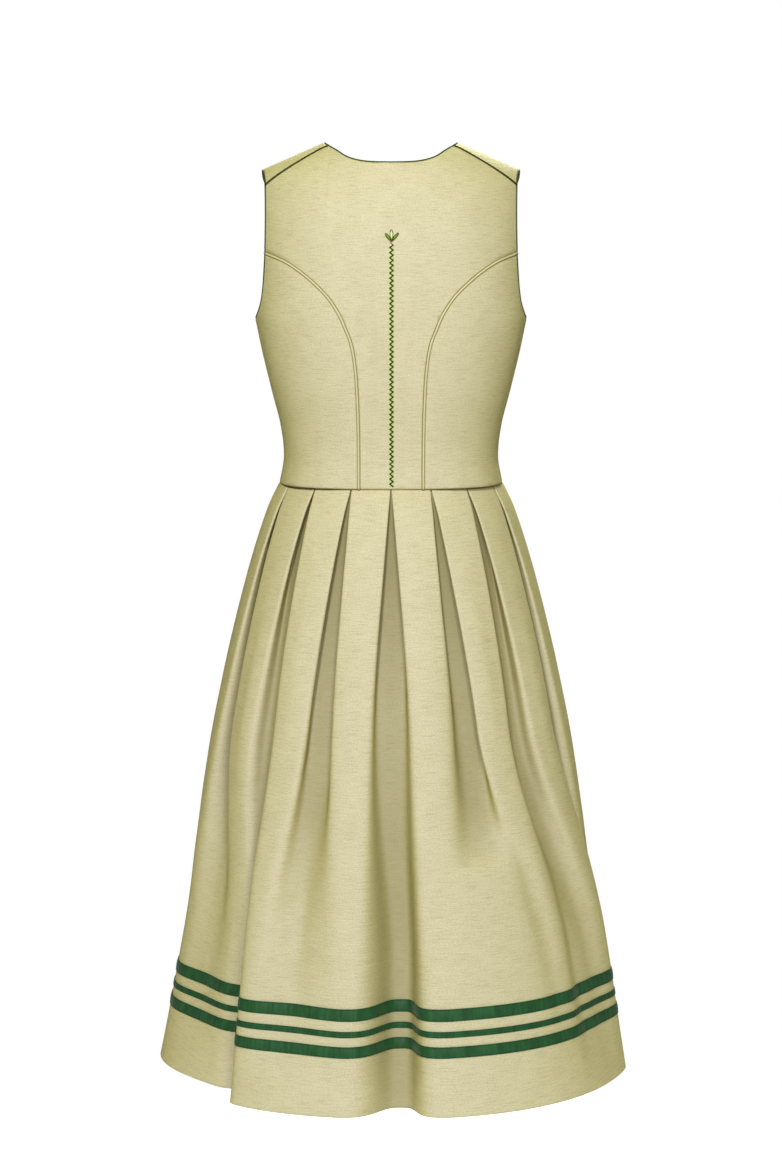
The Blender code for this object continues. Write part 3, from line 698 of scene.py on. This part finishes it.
def cloudy(tree, cloth, x, y, detail, low, high):
    """Noise with cells of x by y metres, spread from 0 to 1 between two of its levels."""
    cells = put(
        tree, "ShaderNodeVectorMath", {0: cloth, 1: (1 / x, 1 / y, 1.0)}, operation="MULTIPLY"
    )
    noise = put(
        tree, "ShaderNodeTexNoise",
        {"Vector": cells.outputs[0], "Scale": 1.0, "Detail": detail, "Roughness": 0.55},
        noise_dimensions="2D",
    )
    spread = put(
        tree, "ShaderNodeMapRange", {"Value": noise.outputs[0], "From Min": low, "From Max": high},
        interpolation_type="SMOOTHSTEP",
    )
    return spread.outputs[0]


def blend_colours(tree, share, first, second, blend="MIX"):
    sockets = {0: share, 6: first, 7: second}
    return put(tree, "ShaderNodeMix", sockets, data_type="RGBA", blend_type=blend).outputs[2]


def start_material(name):
    material = bpy.data.materials.new(name)
    material.use_nodes = True
    return material, material.node_tree


def cloth_measure(tree):
    return put(tree, "ShaderNodeUVMap", uv_map="cloth").outputs[0]


def finish_material(material, colour, height, relief, **settings):
    """Gives the shader its colour and its relief, as that height's size and its strength."""
    tree = material.node_tree
    sockets = {"Height": height, "Distance": relief[0], "Strength": relief[1]}
    normal = put(tree, "ShaderNodeBump", sockets).outputs[0]
    names = {name.replace("_", " "): value for name, value in settings.items()}
    feed(tree, tree.nodes["Principled BSDF"], {"Base Color": colour, "Normal": normal, **names})
    return material


YARN = 0.0006               # from one yarn of the linen to the next
WEAVE_SOCKETS = (
    ("Cloth", "INPUT", "Vector"), ("Pale", "INPUT", "Color"), ("Deep", "INPUT", "Color"),
    ("Slubs", "INPUT", "Float"), ("Colour", "OUTPUT", "Color"), ("Height", "OUTPUT", "Float"),
    ("Dryness", "OUTPUT", "Float"),
)


def make_weave():
    """Plain weave of uneven yarns: its height, and how the yarns' colour varies."""
    tree = bpy.data.node_groups.new("uneven_plain_weave", "ShaderNodeTree")
    for label, way, kind in WEAVE_SOCKETS:
        tree.interface.new_socket(label, in_out=way, socket_type="NodeSocket" + kind)
    given = tree.nodes.new("NodeGroupInput").outputs
    cloth = given["Cloth"]
    split = put(tree, "ShaderNodeSeparateXYZ", {0: cloth}).outputs
    warp, weft = (
        sums(tree, "SINE", sums(tree, "MULTIPLY", split[axis], math.pi / YARN)) for axis in (0, 1)
    )
    over = sums(tree, "MULTIPLY_ADD", sums(tree, "MULTIPLY", warp, weft), 1.4, 0.5, clamp=True)
    warp_high, weft_high = sums(tree, "ABSOLUTE", warp), sums(tree, "ABSOLUTE", weft)
    gap = sums(tree, "SUBTRACT", warp_high, weft_high)
    yarns = sums(tree, "MULTIPLY_ADD", gap, over, weft_high)
    slub_weft = cloudy(tree, cloth, 0.026, 0.0011, 2.0, 0.56, 0.80)
    slub_warp = cloudy(tree, cloth, 0.0010, 0.040, 2.0, 0.60, 0.84)
    slubs = weighted(tree, (slub_weft, 1.0), (slub_warp, 0.5))
    slubs = sums(tree, "MULTIPLY", slubs, given["Slubs"])
    thin = cloudy(tree, cloth, 0.018, 0.0010, 1.0, 0.30, 0.50)
    speckle = cloudy(tree, cloth, 0.0016, 0.0013, 2.0, 0.32, 0.68)
    mottle = cloudy(tree, cloth, 0.030, 0.022, 3.0, 0.30, 0.70)
    parts = (speckle, 0.38), (mottle, 0.10), (thin, 0.28), (yarns, 0.12), (slubs, 0.22)
    pale = weighted(tree, *parts, clamp=True)
    feed(tree, tree.nodes.new("NodeGroupOutput"), {
        "Colour": blend_colours(tree, pale, given["Deep"], given["Pale"]),
        "Height": weighted(tree, (yarns, 1.0), (slubs, 1.2)),
        "Dryness": sums(tree, "MULTIPLY_ADD", speckle, 0.10, 0.66),
    })
    return tree


# painted shade: the dark olive the cloth takes in the grooves beside the seams and deep in the
# pleats
PAINTED_SHADE_COLOUR = (0.20, 0.165, 0.045, 1)
PAINTED_SHADE_SHARE = 0.86           # how far the cloth takes that painted shade, in the seams' grooves and the pleats' depths
# painted shade: cloth turned away from the camera is multiplied darker and yellower
SLANT_PAINTED_SHADE = (0.97, 0.95, 0.42, 1)
SLANT_SHADE_SHARE = 1.1           # how soon the cloth takes that painted shade as it turns away from the camera
WEAVE = make_weave()


def make_linen(name, pale, deep, slubs):
    material, tree = start_material(name)
    sockets = {"Cloth": cloth_measure(tree), "Pale": (*pale, 1), "Deep": (*deep, 1), "Slubs": slubs}
    weave = put(tree, "ShaderNodeGroup", sockets, node_tree=WEAVE).outputs
    # painted shade from the seam attribute, in the seams' grooves and the pleats' depths
    seam = put(tree, "ShaderNodeAttribute", attribute_name="seam").outputs["Fac"]
    # painted shade by slant: the more the cloth turns from the camera, the darker and yellower its
    # colour
    slant = put(tree, "ShaderNodeLayerWeight", {"Blend": 0.5}).outputs["Facing"]
    slanted = sums(tree, "MULTIPLY", slant, SLANT_SHADE_SHARE, clamp=True)
    colour = blend_colours(tree, slanted, weave["Colour"], SLANT_PAINTED_SHADE, "MULTIPLY")
    colour = blend_colours(tree, sums(tree, "MULTIPLY", seam, PAINTED_SHADE_SHARE), colour, PAINTED_SHADE_COLOUR)
    return finish_material(
        material, colour, weave["Height"], (0.0002, 0.6), Roughness=weave["Dryness"],
        Sheen_Weight=0.06, Sheen_Roughness=0.5, Specular_IOR_Level=0.35,
    )


def make_satin(name, pale, deep):
    """Satin ribbon: lengthwise sheen lines and the small puckers its stitching draws across it,
    with painted sheen and shade in its colour.
    """
    material, tree = start_material(name)
    cloth = cloth_measure(tree)
    puckers = cloudy(tree, cloth, 0.0034, 0.020, 2.0, 0.30, 0.72)
    folds = cloudy(tree, cloth, 0.012, 0.030, 1.0, 0.35, 0.65)
    lines = cloudy(tree, cloth, 0.010, 0.0006, 1.0, 0.30, 0.70)
    # painted sheen and shade: the colour turns pale along the sheen lines and where puckers and
    # folds stand up, and deep in their hollows
    share = weighted(tree, (puckers, 0.40), (folds, 0.35), (lines, 0.20), clamp=True)
    return finish_material(
        material, blend_colours(tree, share, (*deep, 1), (*pale, 1)),
        weighted(tree, (puckers, 1.0), (folds, 0.8), (lines, 0.10)), (0.0003, 0.5),
        Roughness=sums(tree, "MULTIPLY_ADD", lines, 0.10, 0.50),
        Sheen_Weight=0.10, Sheen_Roughness=0.4, Specular_IOR_Level=0.28,
    )


def make_piping(name, pale, deep):
    """Cloth-covered cord: fine bias weave that slants round it."""
    material, tree = start_material(name)
    cloth = cloth_measure(tree)
    weave = cloudy(tree, cloth, 0.0007, 0.0010, 2.0, 0.30, 0.70)
    wear = cloudy(tree, cloth, 0.020, 0.004, 2.0, 0.30, 0.70)
    share = weighted(tree, (weave, 0.6), (wear, 0.4))
    colour = blend_colours(tree, share, (*deep, 1), (*pale, 1))
    return finish_material(
        material, colour, weave, (0.0002, 0.6), Roughness=0.75, Specular_IOR_Level=0.08
    )


def make_thread(name, pale, deep):
    """Stranded sewing or embroidery thread, its twist seen as fine streaks."""
    material, tree = start_material(name)
    place = put(tree, "ShaderNodeTexCoord").outputs["Object"]
    sockets = {"Vector": place, "Scale": 1800.0, "Detail": 2.0}
    strands = put(tree, "ShaderNodeTexNoise", sockets).outputs[0]
    colour = blend_colours(tree, strands, (*deep, 1), (*pale, 1))
    return finish_material(
        material, colour, strands, (0.00015, 0.6), Roughness=0.6, Specular_IOR_Level=0.05
    )


FINISHES = {
    "linen": make_linen("beige_linen", (0.70, 0.650, 0.430), (0.47, 0.420, 0.245), 1.0),
    "linen_piping": make_linen("beige_linen_piping", (0.71, 0.655, 0.41), (0.56, 0.505, 0.27), 0.4),
    "green_piping": make_piping("green_piping_cloth", (0.062, 0.096, 0.016), (0.028, 0.046, 0.006)),
    # the satin's pale and deep colours are its painted lit and shaded tones
    "green_satin": make_satin("green_satin_ribbon", (0.021, 0.108, 0.030), (0.009, 0.052, 0.015)),
}
RIBBON_THREAD = make_thread("dark_green_sewing_thread", (0.014, 0.05, 0.016), (0.006, 0.024, 0.008))
DARK_THREAD = make_thread("dark_green_embroidery", (0.060, 0.100, 0.001), (0.022, 0.042, 0.001))
LIGHT_THREAD = make_thread("yellow_green_embroidery", (0.80, 0.86, 0.44), (0.52, 0.60, 0.20))
LEAF_THREAD = make_thread("leaf_green_embroidery", (0.24, 0.32, 0.03), (0.11, 0.17, 0.01))
BROWN_THREAD = make_thread("brown_embroidery", (0.26, 0.13, 0.03), (0.12, 0.06, 0.01))


# ---- bodice panels
PANEL_ACROSS, PANEL_UP = 46, 66
ACROSS, UP = even(PANEL_ACROSS), even(PANEL_UP)
EDGE_STEPS = np.array([0.0, 0.0006, 0.0012, 0.0018, 0.0025, 0.0034])
CORNER_COSINE = 0.88        # an edge that turns more sharply than this has a corner
SHOULDER_START = 1.75       # how far up its face the cloth starts to lie flat over the shoulder
SHOULDER_REACH = 0.2        # cloth that each step of way takes there
CORDED_SHADE = (0.0015, 0.0025)     # from how near to how far painted shade darkens the cloth beside a corded seam
PLAIN_SHADE = (0.0002, 0.0013)      # the same painted shade beside a seam without a cord


def shoulder_seam(side, home, shares):
    """From the armhole to the neck, set on the back below the shoulder line."""
    outer = edge(ARMHOLE_BACK_HIGH, (1.0,), side, BACK)[0]
    inner = edge(NECK_BACK, (1.0,), side, BACK)[0]
    return [(turn, way if home == BACK else 4 - way) for turn, way in level(outer, inner, shares)]


def back_centre_places():
    sides = []
    for side in (-1, 1):
        seam = edge(PRINCESS_BACK, even(40), side, BACK)
        armhole = edge(ARMHOLE_BACK_HIGH, even(12), side, BACK)
        sides.append(respaced(seam + armhole[1:], UP, [len(seam) - 1]))
    neck = edge(NECK_BACK, even(20), -1, BACK)[::-1] + edge(NECK_BACK, even(20), 1, BACK)[1:]
    shoulders = [shoulder_seam(side, BACK, even(12)) for side in (-1, 1)]
    neck_start = len(shoulders[0]) - 1
    top = respaced(
        shoulders[0] + neck[1:] + shoulders[1][::-1][1:], ACROSS,
        [neck_start, neck_start + len(neck) - 1],
    )
    bottom = level(sides[0][0], sides[1][0], ACROSS)
    return fill(bottom, top, *sides, ACROSS, UP)


def side_places(face, side):
    princess, armhole = (
        (PRINCESS_BACK, ARMHOLE_BACK_LOW) if face == BACK else (PRINCESS_FRONT, ARMHOLE_FRONT_LOW)
    )
    seam = respaced(edge(princess, even(40), side, face), UP)
    outer = side_seam(UP, side)
    top = respaced(edge(armhole, even(20), side, face)[::-1], ACROSS)
    bottom = level(seam[0], outer[0], ACROSS)
    return fill(bottom, top, seam, outer, ACROSS, UP)


def front_centre_places(side):
    opening = level((0.0, 0.0), edge(NECK_FRONT, (0.0,), side, FRONT)[0], even(20))
    neck = edge(NECK_FRONT, even(40), side, FRONT)
    inner = respaced(opening + neck[1:], UP, [len(opening) - 1])
    seam = edge(PRINCESS_FRONT, even(40), side, FRONT)
    armhole = edge(ARMHOLE_FRONT_HIGH, even(30), side, FRONT)
    outer = respaced(seam + armhole[1:], UP, [len(seam) - 1])
    top = respaced(shoulder_seam(side, FRONT, even(12))[::-1], ACROSS)
    bottom = level(inner[0], outer[0], ACROSS)
    return fill(bottom, top, inner, outer, ACROSS, UP)


def spaced(line, home, count):
    """The same line of places in even steps, close together at its ends, its corners kept."""
    points = np.array([body_point(*place, home) for place in line])
    keys = running_length(points)
    inner = np.linspace(EDGE_STEPS[-1], keys[-1] - EDGE_STEPS[-1], count)[1:-1]
    reach = np.concatenate([EDGE_STEPS, inner, keys[-1] - EDGE_STEPS[::-1]])
    ahead = unit(np.diff(points, axis=0))
    corners = 1 + np.flatnonzero((ahead[1:] * ahead[:-1]).sum(axis=1) < CORNER_COSINE)
    return read_at(line, keys, reach, corners)


def on_bodice(places, home, lift=0.0):
    """Points over the bodice at the places, and the outward directions there."""
    normals = np.array([body_normal(*place, home) for place in places])
    points = np.array([body_point(*place, home) for place in places])
    return points + normals * lift, normals


def seam_lines():
    """Points close together along the bodice's seams: those with a cord in them, and the others."""
    corded, plain = [], []
    for side in (-1, 1):
        for seam, home in (
            (edge(PRINCESS_BACK, even(600), side, BACK), BACK),
            (edge(PRINCESS_FRONT, even(600), side, FRONT), FRONT),
            (shoulder_seam(side, BACK, even(200)), BACK),
        ):
            corded.append(on_bodice(seam, home)[0])
        plain.append(on_bodice(side_seam(even(300), side), BACK)[0])
    for face in (BACK, FRONT):
        waist = [((2 * share - 1) * math.pi / 2, 0.0) for share in even(1200)]
        plain.append(on_bodice(waist, face)[0])
    return np.concatenate(corded), np.concatenate(plain)


def nearest(points, line):
    """Distance from each point to the nearest of a line's points."""
    return np.array([np.linalg.norm(line - point, axis=1).min() for point in points])


CORDED_SEAMS, PLAIN_SEAMS = seam_lines()


def panel_piece(name, places, home):
    places = np.array([spaced(row, home, PANEL_ACROSS) for row in places])
    places = np.array([spaced(column, home, PANEL_UP) for column in places.swapaxes(0, 1)])
    places = places.swapaxes(0, 1)
    sizes = places.shape[:2]
    points, normals = on_bodice(places.reshape(-1, 2), home)
    inset = np.minimum.outer(*(
        EDGE_STEPS[np.minimum(np.arange(n), np.arange(n)[::-1]).clip(max=len(EDGE_STEPS) - 1)]
        for n in sizes
    ))
    turned = 1 - smooth(0.0, EDGE_TURN, inset.reshape(-1, 1))
    grid = (points - normals * EDGE_ROLL * turned).reshape(*sizes, 3)
    # painted shade in the grooves beside the seams, darkest nearest them
    seam = np.maximum(
        1 - smooth(*CORDED_SHADE, nearest(points, CORDED_SEAMS)),
        1 - smooth(*PLAIN_SHADE, nearest(points, PLAIN_SEAMS)),
    )
    across = np.array([running_length(row) for row in grid])
    across -= across[:, sizes[1] // 2, None]
    over_shoulder = SHOULDER_REACH * np.maximum(0.0, places[..., 1] - SHOULDER_START)
    measure = np.stack([across, grid[..., 2] - WAIST_Z + over_shoulder], axis=2)
    piece = grid_piece("cloth_" + name, grid, measure, normals, seam)
    give_thickness(piece, BODICE_CLOTH, -1.0)
    return finish_piece(piece, "linen", name)


# flat width, flat length and flat area of each bodice panel's cut
Cut = namedtuple("Cut", "width length area")


def make_bodice():
    panels = {"back_centre": panel_piece("back_centre", back_centre_places(), BACK)}
    for side, word in ((-1, "left"), (1, "right")):
        for face, start in ((BACK, "back_side_"), (FRONT, "front_side_")):
            panels[start + word] = panel_piece(start + word, side_places(face, side), face)
        name = "front_centre_" + word
        panels[name] = panel_piece(name, front_centre_places(side), FRONT)
    return panels


# ---- piping
PRINCESS_HALF_WIDTH, PRINCESS_HALF_HEIGHT = 0.0011, 0.0009
EDGE_CORD_RADIUS = 0.0007
# how far a cord's middle stands over or beside the cloth, as a share of its own half height
PRINCESS_LIFT, SHOULDER_LIFT, EDGE_LIFT = 0.55, 0.6, 0.7


def edge_cord(name, places, opening):
    """A cord round a free edge, just beyond it on its opening's side, level with its wall."""
    points, normals = on_bodice(places, FRONT, -BODICE_CLOTH / 2)
    ahead = np.roll(points, -1, axis=0) - np.roll(points, 1, axis=0)
    outwards = unit(np.cross(ahead, normals))
    outwards *= np.sign((outwards * (opening - points)).sum(axis=1, keepdims=True))
    points += outwards * EDGE_CORD_RADIUS * EDGE_LIFT
    cord_piece(name, points, normals, EDGE_CORD_RADIUS, EDGE_CORD_RADIUS, "green_piping", True)


def make_piping_pieces():
    for side, word in ((-1, "left"), (1, "right")):
        for marks, face, place in ((PRINCESS_BACK, BACK, "back"), (PRINCESS_FRONT, FRONT, "front")):
            seam = edge(marks, even(90), side, face)
            cord_piece(
                f"princess_piping_{place}_{word}",
                *on_bodice(seam, face, PRINCESS_HALF_HEIGHT * PRINCESS_LIFT),
                PRINCESS_HALF_WIDTH, PRINCESS_HALF_HEIGHT, "linen_piping",
            )
        seam = shoulder_seam(side, BACK, even(24))
        cord_piece(
            "shoulder_piping_" + word, *on_bodice(seam, BACK, EDGE_CORD_RADIUS * SHOULDER_LIFT),
            EDGE_CORD_RADIUS, EDGE_CORD_RADIUS, "green_piping",
        )
        up_back = edge(ARMHOLE_BACK_LOW, even(26), side, FRONT)
        up_back += edge(ARMHOLE_BACK_HIGH, even(24), side, FRONT)[1:]
        down_front = edge(ARMHOLE_FRONT_HIGH, even(36), side, FRONT)[::-1]
        down_front += edge(ARMHOLE_FRONT_LOW, even(26), side, FRONT)[::-1][1:]
        opening = (side * ARMHOLE_ACROSS, 0, WAIST_Z + ARMHOLE_RISE)
        edge_cord("armhole_piping_" + word, up_back + down_front[1:-1], opening)
    left, right = [
        edge(NECK_FRONT, even(60), side, FRONT) + edge(NECK_BACK, even(24), side, FRONT)[::-1][1:]
        for side in (-1, 1)
    ]
    edge_cord("neck_piping", left + right[::-1][1:-1], (0, 0, WAIST_Z + NECK_RISE))


# ---- skirt and its ribbons
# distances from a pleat's floor centre, close together where the cloth is folded
PLEAT_STEPS = (
    0.0, 0.0045, 0.0085, 0.0115, 0.0140, 0.0155, 0.0163, 0.0169, 0.0176, 0.0184, 0.0196, 0.0220,
    0.0250, 0.0280, 0.0305, 0.0322, 0.0332, 0.0339, 0.0346, 0.0354, 0.0364, 0.0380, 0.0405,
    0.0440, 0.0490, 0.0530,
)
SKIRT_DROPS = np.concatenate([
    [0.0, 0.0006, 0.0012, 0.0020, 0.0032, 0.0055, 0.0090, 0.0135, 0.0190, 0.0255],
    np.linspace(0.033, 0.640, 84),
    [0.6455, 0.6500, HEM_DROP],
])


def half_runs(first, last):
    """Cloth runs of one half of the skirt, from one side pleat's floor to the other's."""
    runs = []
    for k in range(first, last):
        start = k * CLOTH_PITCH
        runs += [start + step for step in PLEAT_STEPS]
        runs.append(start + CLOTH_PITCH / 2)
        runs += [start + CLOTH_PITCH - step for step in PLEAT_STEPS[:0:-1]]
    runs.append(last * CLOTH_PITCH)
    return np.array(runs)


def make_skirt():
    halves = {}
    for name, first, last in (
        ("skirt_back", LEFT_SIDE_PLEAT, RIGHT_SIDE_PLEAT + PLEATS),
        ("skirt_front", RIGHT_SIDE_PLEAT, LEFT_SIDE_PLEAT),
    ):
        runs = half_runs(first, last)
        grid = skirt_grid(SKIRT_DROPS, runs)
        measure = np.stack(np.meshgrid(runs, -SKIRT_DROPS), axis=2)
        # painted shade: a thin line along the waist seam, and deep in the pleats' folds
        seam = np.maximum((1 - smooth(*PLAIN_SHADE, SKIRT_DROPS))[:, None], grid[..., 3])
        piece = grid_piece("cloth_" + name, grid[..., :3], measure, seam=seam)
        give_thickness(piece, SKIRT_CLOTH, 0.0)
        halves[name] = finish_piece(piece, "linen", name)
    return halves


RIBBON_STEPS, RIBBON_STITCHES = 1240, 620     # round the skirt, and stitches in each line
RIBBON_SHARES = (0.0, 0.05, 0.12, 0.30, 0.50, 0.70, 0.88, 0.95, 1.0)
RIBBON_UNDER = SKIRT_CLOTH / 2 + 0.0003       # its underside over the skirt's middle line
PILLOW_HIGH, PILLOW_WIDE = 0.0004, 0.0030     # how a ribbon swells away from its stitches
PUCKER_TURN, PUCKER_DRIFT = 1400, 170         # how fast its puckers follow each other, and wander
STITCH_LONG, STITCH_RADIUS = 0.0023, 0.00022
OUTWARD_STEP = 0.001        # a small step outwards, for the direction of a stitch's top


def make_ribbon(ribbon):
    """One satin ribbon round the skirt, and its lines of stitches."""
    lower = HEM_DROP - ribbon.above_hem
    runs = np.arange(RIBBON_STEPS) * SKIRT_ROUND / RIBBON_STEPS
    rows = []
    for share in RIBBON_SHARES:
        from_stitch = min(abs(share * ribbon.width - line) for line in ribbon.stitch_lines)
        pillow = PILLOW_HIGH * smooth(0.0, PILLOW_WIDE, from_stitch)
        pucker = pillow / 2 * np.sin(runs * PUCKER_TURN + 3 * np.sin(runs * PUCKER_DRIFT))
        row = skirt_grid([lower - share * ribbon.width], runs, RIBBON_UNDER + pillow)[0][:, :3]
        outwards = unit((row - row.mean(axis=0)) * (1.0, 1.0, 0.0))
        rows.append(row + outwards * pucker[:, None])
    measure = np.stack(
        np.meshgrid(np.append(runs, SKIRT_ROUND), np.array(RIBBON_SHARES) * ribbon.width), axis=2
    )
    piece = grid_piece("satin_ribbon_" + ribbon.name, np.array(rows), measure)
    give_thickness(piece, RIBBON_CLOTH, 1.0)
    finish_piece(piece, "green_satin", "ribbon_" + ribbon.name)

    over = RIBBON_UNDER + RIBBON_CLOTH
    places = np.arange(RIBBON_STITCHES) * SKIRT_ROUND / RIBBON_STITCHES
    drops = [lower - line for line in ribbon.stitch_lines]
    starts, ends, raised = (
        skirt_grid(drops, places + reach, lift)[..., :3].reshape(-1, 3)
        for reach, lift in ((0.0, over), (STITCH_LONG, over), (0.0, over + OUTWARD_STEP))
    )
    ups = (raised - starts) / OUTWARD_STEP
    name = "stitches_ribbon_" + ribbon.name
    seams = stitches_piece(name, starts, ends, ups, STITCH_RADIUS, 4)
    return piece, finish_piece(seams, "green_satin", material=RIBBON_THREAD)


# ---- embroidery
BRAID_FOOT, BRAID_HEAD = 0.0035, 0.2645
BRAID_REPEAT = 0.0054
BRAID_HALF = 0.0025         # half its width
BRAID_ACROSS = 0.0005       # its middle line's place across
BRAID_OVERLAP = 0.0003      # how far each dark stitch reaches past the light one's ends


def on_back(across, rise, lift):
    """A point over the centre back panel, and the outward direction there."""
    way = way_up(Mark(across, rise, BACK), BACK)
    turn = turn_of(across, way)
    normal = body_normal(turn, way, BACK)
    return body_point(turn, way, BACK) + normal * lift, normal


def sewn(name, lines, lift, radius, material):
    """Stitches over the back, each from its first (across, rise) to its second."""
    starts, ends = (np.array([on_back(*line[n], lift) for line in lines]) for n in (0, 1))
    piece = stitches_piece(name, starts[:, 0], ends[:, 0], starts[:, 1], radius, 6)
    return finish_piece(piece, "green_piping", material=material)


def make_braid():
    """Two threads that zigzag up the centre back in turn, the dark one on top."""
    half = BRAID_REPEAT / 2
    dark, light = [], []
    for i in range(int((BRAID_HEAD - BRAID_FOOT) / half)):
        low = BRAID_FOOT + i * half
        out = BRAID_HALF if i % 2 else -BRAID_HALF
        left, right = BRAID_ACROSS - out, BRAID_ACROSS + out
        dark.append(((left, low - BRAID_OVERLAP), (right, low + half + BRAID_OVERLAP)))
        light.append(((right, low), (left, low + half)))
    return [
        sewn("embroidery_braid_light", light, 0.0002, 0.00070, LIGHT_THREAD),
        sewn("embroidery_braid_dark", dark, 0.0006, 0.00080, DARK_THREAD),
    ]


# a petal's tip from the flower's foot, its half width, and how light its filling is
Petal = namedtuple("Petal", "across rise half_width filling")
FLOWER_FOOT = np.array([0.0006, 0.2668])
PETALS = [Petal(*row) for row in (
    (-0.0068, 0.0080, 0.0016, "leaf"),
    (0.0074, 0.0086, 0.0015, "leaf"),
    (-0.0002, 0.0120, 0.0018, "light"),
)]


# stitches of the knot at the petals' foot, and of the stem under it, measured from the foot
KNOT = (
    ((-0.0006, 0.0012), (0.0006, -0.0008)), ((0.0006, 0.0014), (-0.0002, -0.0010)),
    ((-0.0016, 0.0026), (0.0002, -0.0002)), ((0.0020, 0.0030), (0.0002, 0.0002)),
)
STEM = (((-0.0020, -0.0005), (0.0020, -0.0046)),)


def make_flower():
    """Three petals over the braid, outlined in dark thread and filled with lighter stitches."""
    outline, filled = [], {"leaf": [], "light": []}
    turns = np.arange(17)[:, None] * math.pi / 8
    along = (1 - np.cos(turns)) / 2
    for petal in PETALS:
        ahead = np.array([petal.across, petal.rise])
        aside = unit(np.array([petal.rise, -petal.across])) * petal.half_width
        rim = FLOWER_FOOT + ahead * along + aside * np.sin(turns) * (0.75 + 0.25 * along)
        outline += list(zip(rim, rim[1:]))
        for i in range(-2, 3):
            start = FLOWER_FOOT + ahead * (0.12 + 0.08 * abs(i)) + aside * i * 0.15
            end = FLOWER_FOOT + ahead * (0.92 - 0.07 * abs(i)) + aside * i * 0.30
            filled[petal.filling].append((start, end))
    knot, stem = (FLOWER_FOOT + np.array(lines) for lines in (KNOT, STEM))
    return [
        sewn("embroidery_petals_leaf", filled["leaf"], 0.0003, 0.00050, LEAF_THREAD),
        sewn("embroidery_petals_light", filled["light"], 0.0003, 0.00045, LIGHT_THREAD),
        sewn("embroidery_petals_outline", outline, 0.0005, 0.00044, DARK_THREAD),
        sewn("embroidery_knot", knot, 0.0007, 0.00065, DARK_THREAD),
        sewn("embroidery_stem", stem, 0.0006, 0.00048, BROWN_THREAD),
    ]


# ---- studio
FLOOR_BELOW = 0.385         # how far under the hem the wearer's ground lies
FLOOR_RADIUS = 1.0
CAMERA_BACK = 2.75
CAMERA_ABOVE_WAIST = 0.24
CAMERA_TILT = math.radians(7.45)
CAMERA_LENS = 75.22
LIGHT_COLOUR = (0.96, 0.98, 1.0)
LIGHTS = (      # name, place, size across, power
    ("key", (-0.50, -2.8, 1.50), 0.45, 88.0),
    ("front", (0.50, -3.1, 0.75), 0.70, 42.0),
    ("behind", (0.6, 2.8, 1.7), 1.6, 140.0),
)


def add_to_scene(name, data, place):
    item = bpy.data.objects.new(name, data)
    item.location = place
    bpy.context.scene.collection.objects.link(item)
    return item


def make_world():
    """Faint warm light from all round; the camera sees it as plain white."""
    world = bpy.data.worlds.new("pale_studio")
    world.use_nodes = True
    tree = world.node_tree
    background = tree.nodes["Background"]
    feed(tree, background, {"Color": (1.0, 0.91, 0.66, 1.0), "Strength": 0.14})
    seen = put(tree, "ShaderNodeBackground", {"Color": (1.0, 1.0, 1.0, 1.0), "Strength": 1.0})
    path = put(tree, "ShaderNodeLightPath").outputs["Is Camera Ray"]
    mix = put(tree, "ShaderNodeMixShader", {0: path, 1: background.outputs[0], 2: seen.outputs[0]})
    feed(tree, tree.nodes["World Output"], {"Surface": mix.outputs[0]})
    bpy.context.scene.world = world


def make_floor():
    bpy.ops.mesh.primitive_circle_add(
        vertices=128, radius=FLOOR_RADIUS, fill_type="NGON",
        location=(0.0, 0.0, CAD_BOX[0].z - FLOOR_BELOW),
    )
    floor = bpy.context.object
    floor.name = "floor"
    material, tree = start_material("pale_floor")
    feed(tree, tree.nodes["Principled BSDF"], {
        "Base Color": (0.80, 0.80, 0.79, 1), "Roughness": 0.9,
        "Emission Color": (1, 1, 1, 1), "Emission Strength": 0.60,
    })
    floor.data.materials.append(material)


def make_lights_and_camera():
    aim = Vector((0.0, 0.0, WAIST_Z - 0.05))
    for name, place, size, power in LIGHTS:
        light = bpy.data.lights.new(name, "AREA")
        light.shape = "DISK"
        light.size = size
        light.energy = power
        light.color = LIGHT_COLOUR
        item = add_to_scene(name, light, place)
        item.rotation_euler = (aim - Vector(place)).to_track_quat("-Z", "Y").to_euler()
    lens = bpy.data.cameras.new("camera")
    lens.lens = CAMERA_LENS
    camera = add_to_scene("camera", lens, (0.0, -CAMERA_BACK, WAIST_Z + CAMERA_ABOVE_WAIST))
    camera.rotation_euler = (math.pi / 2 - CAMERA_TILT, 0.0, 0.0)
    bpy.context.scene.camera = camera
    bpy.context.scene.view_settings.view_transform = "Standard"
    bpy.context.scene.view_settings.look = "None"


# ---- the dress
make_world()
make_floor()
make_lights_and_camera()
panels = make_bodice()
make_piping_pieces()
halves = make_skirt()
ribbons = {ribbon: make_ribbon(ribbon) for ribbon in RIBBONS}
embroidery = make_braid() + make_flower()
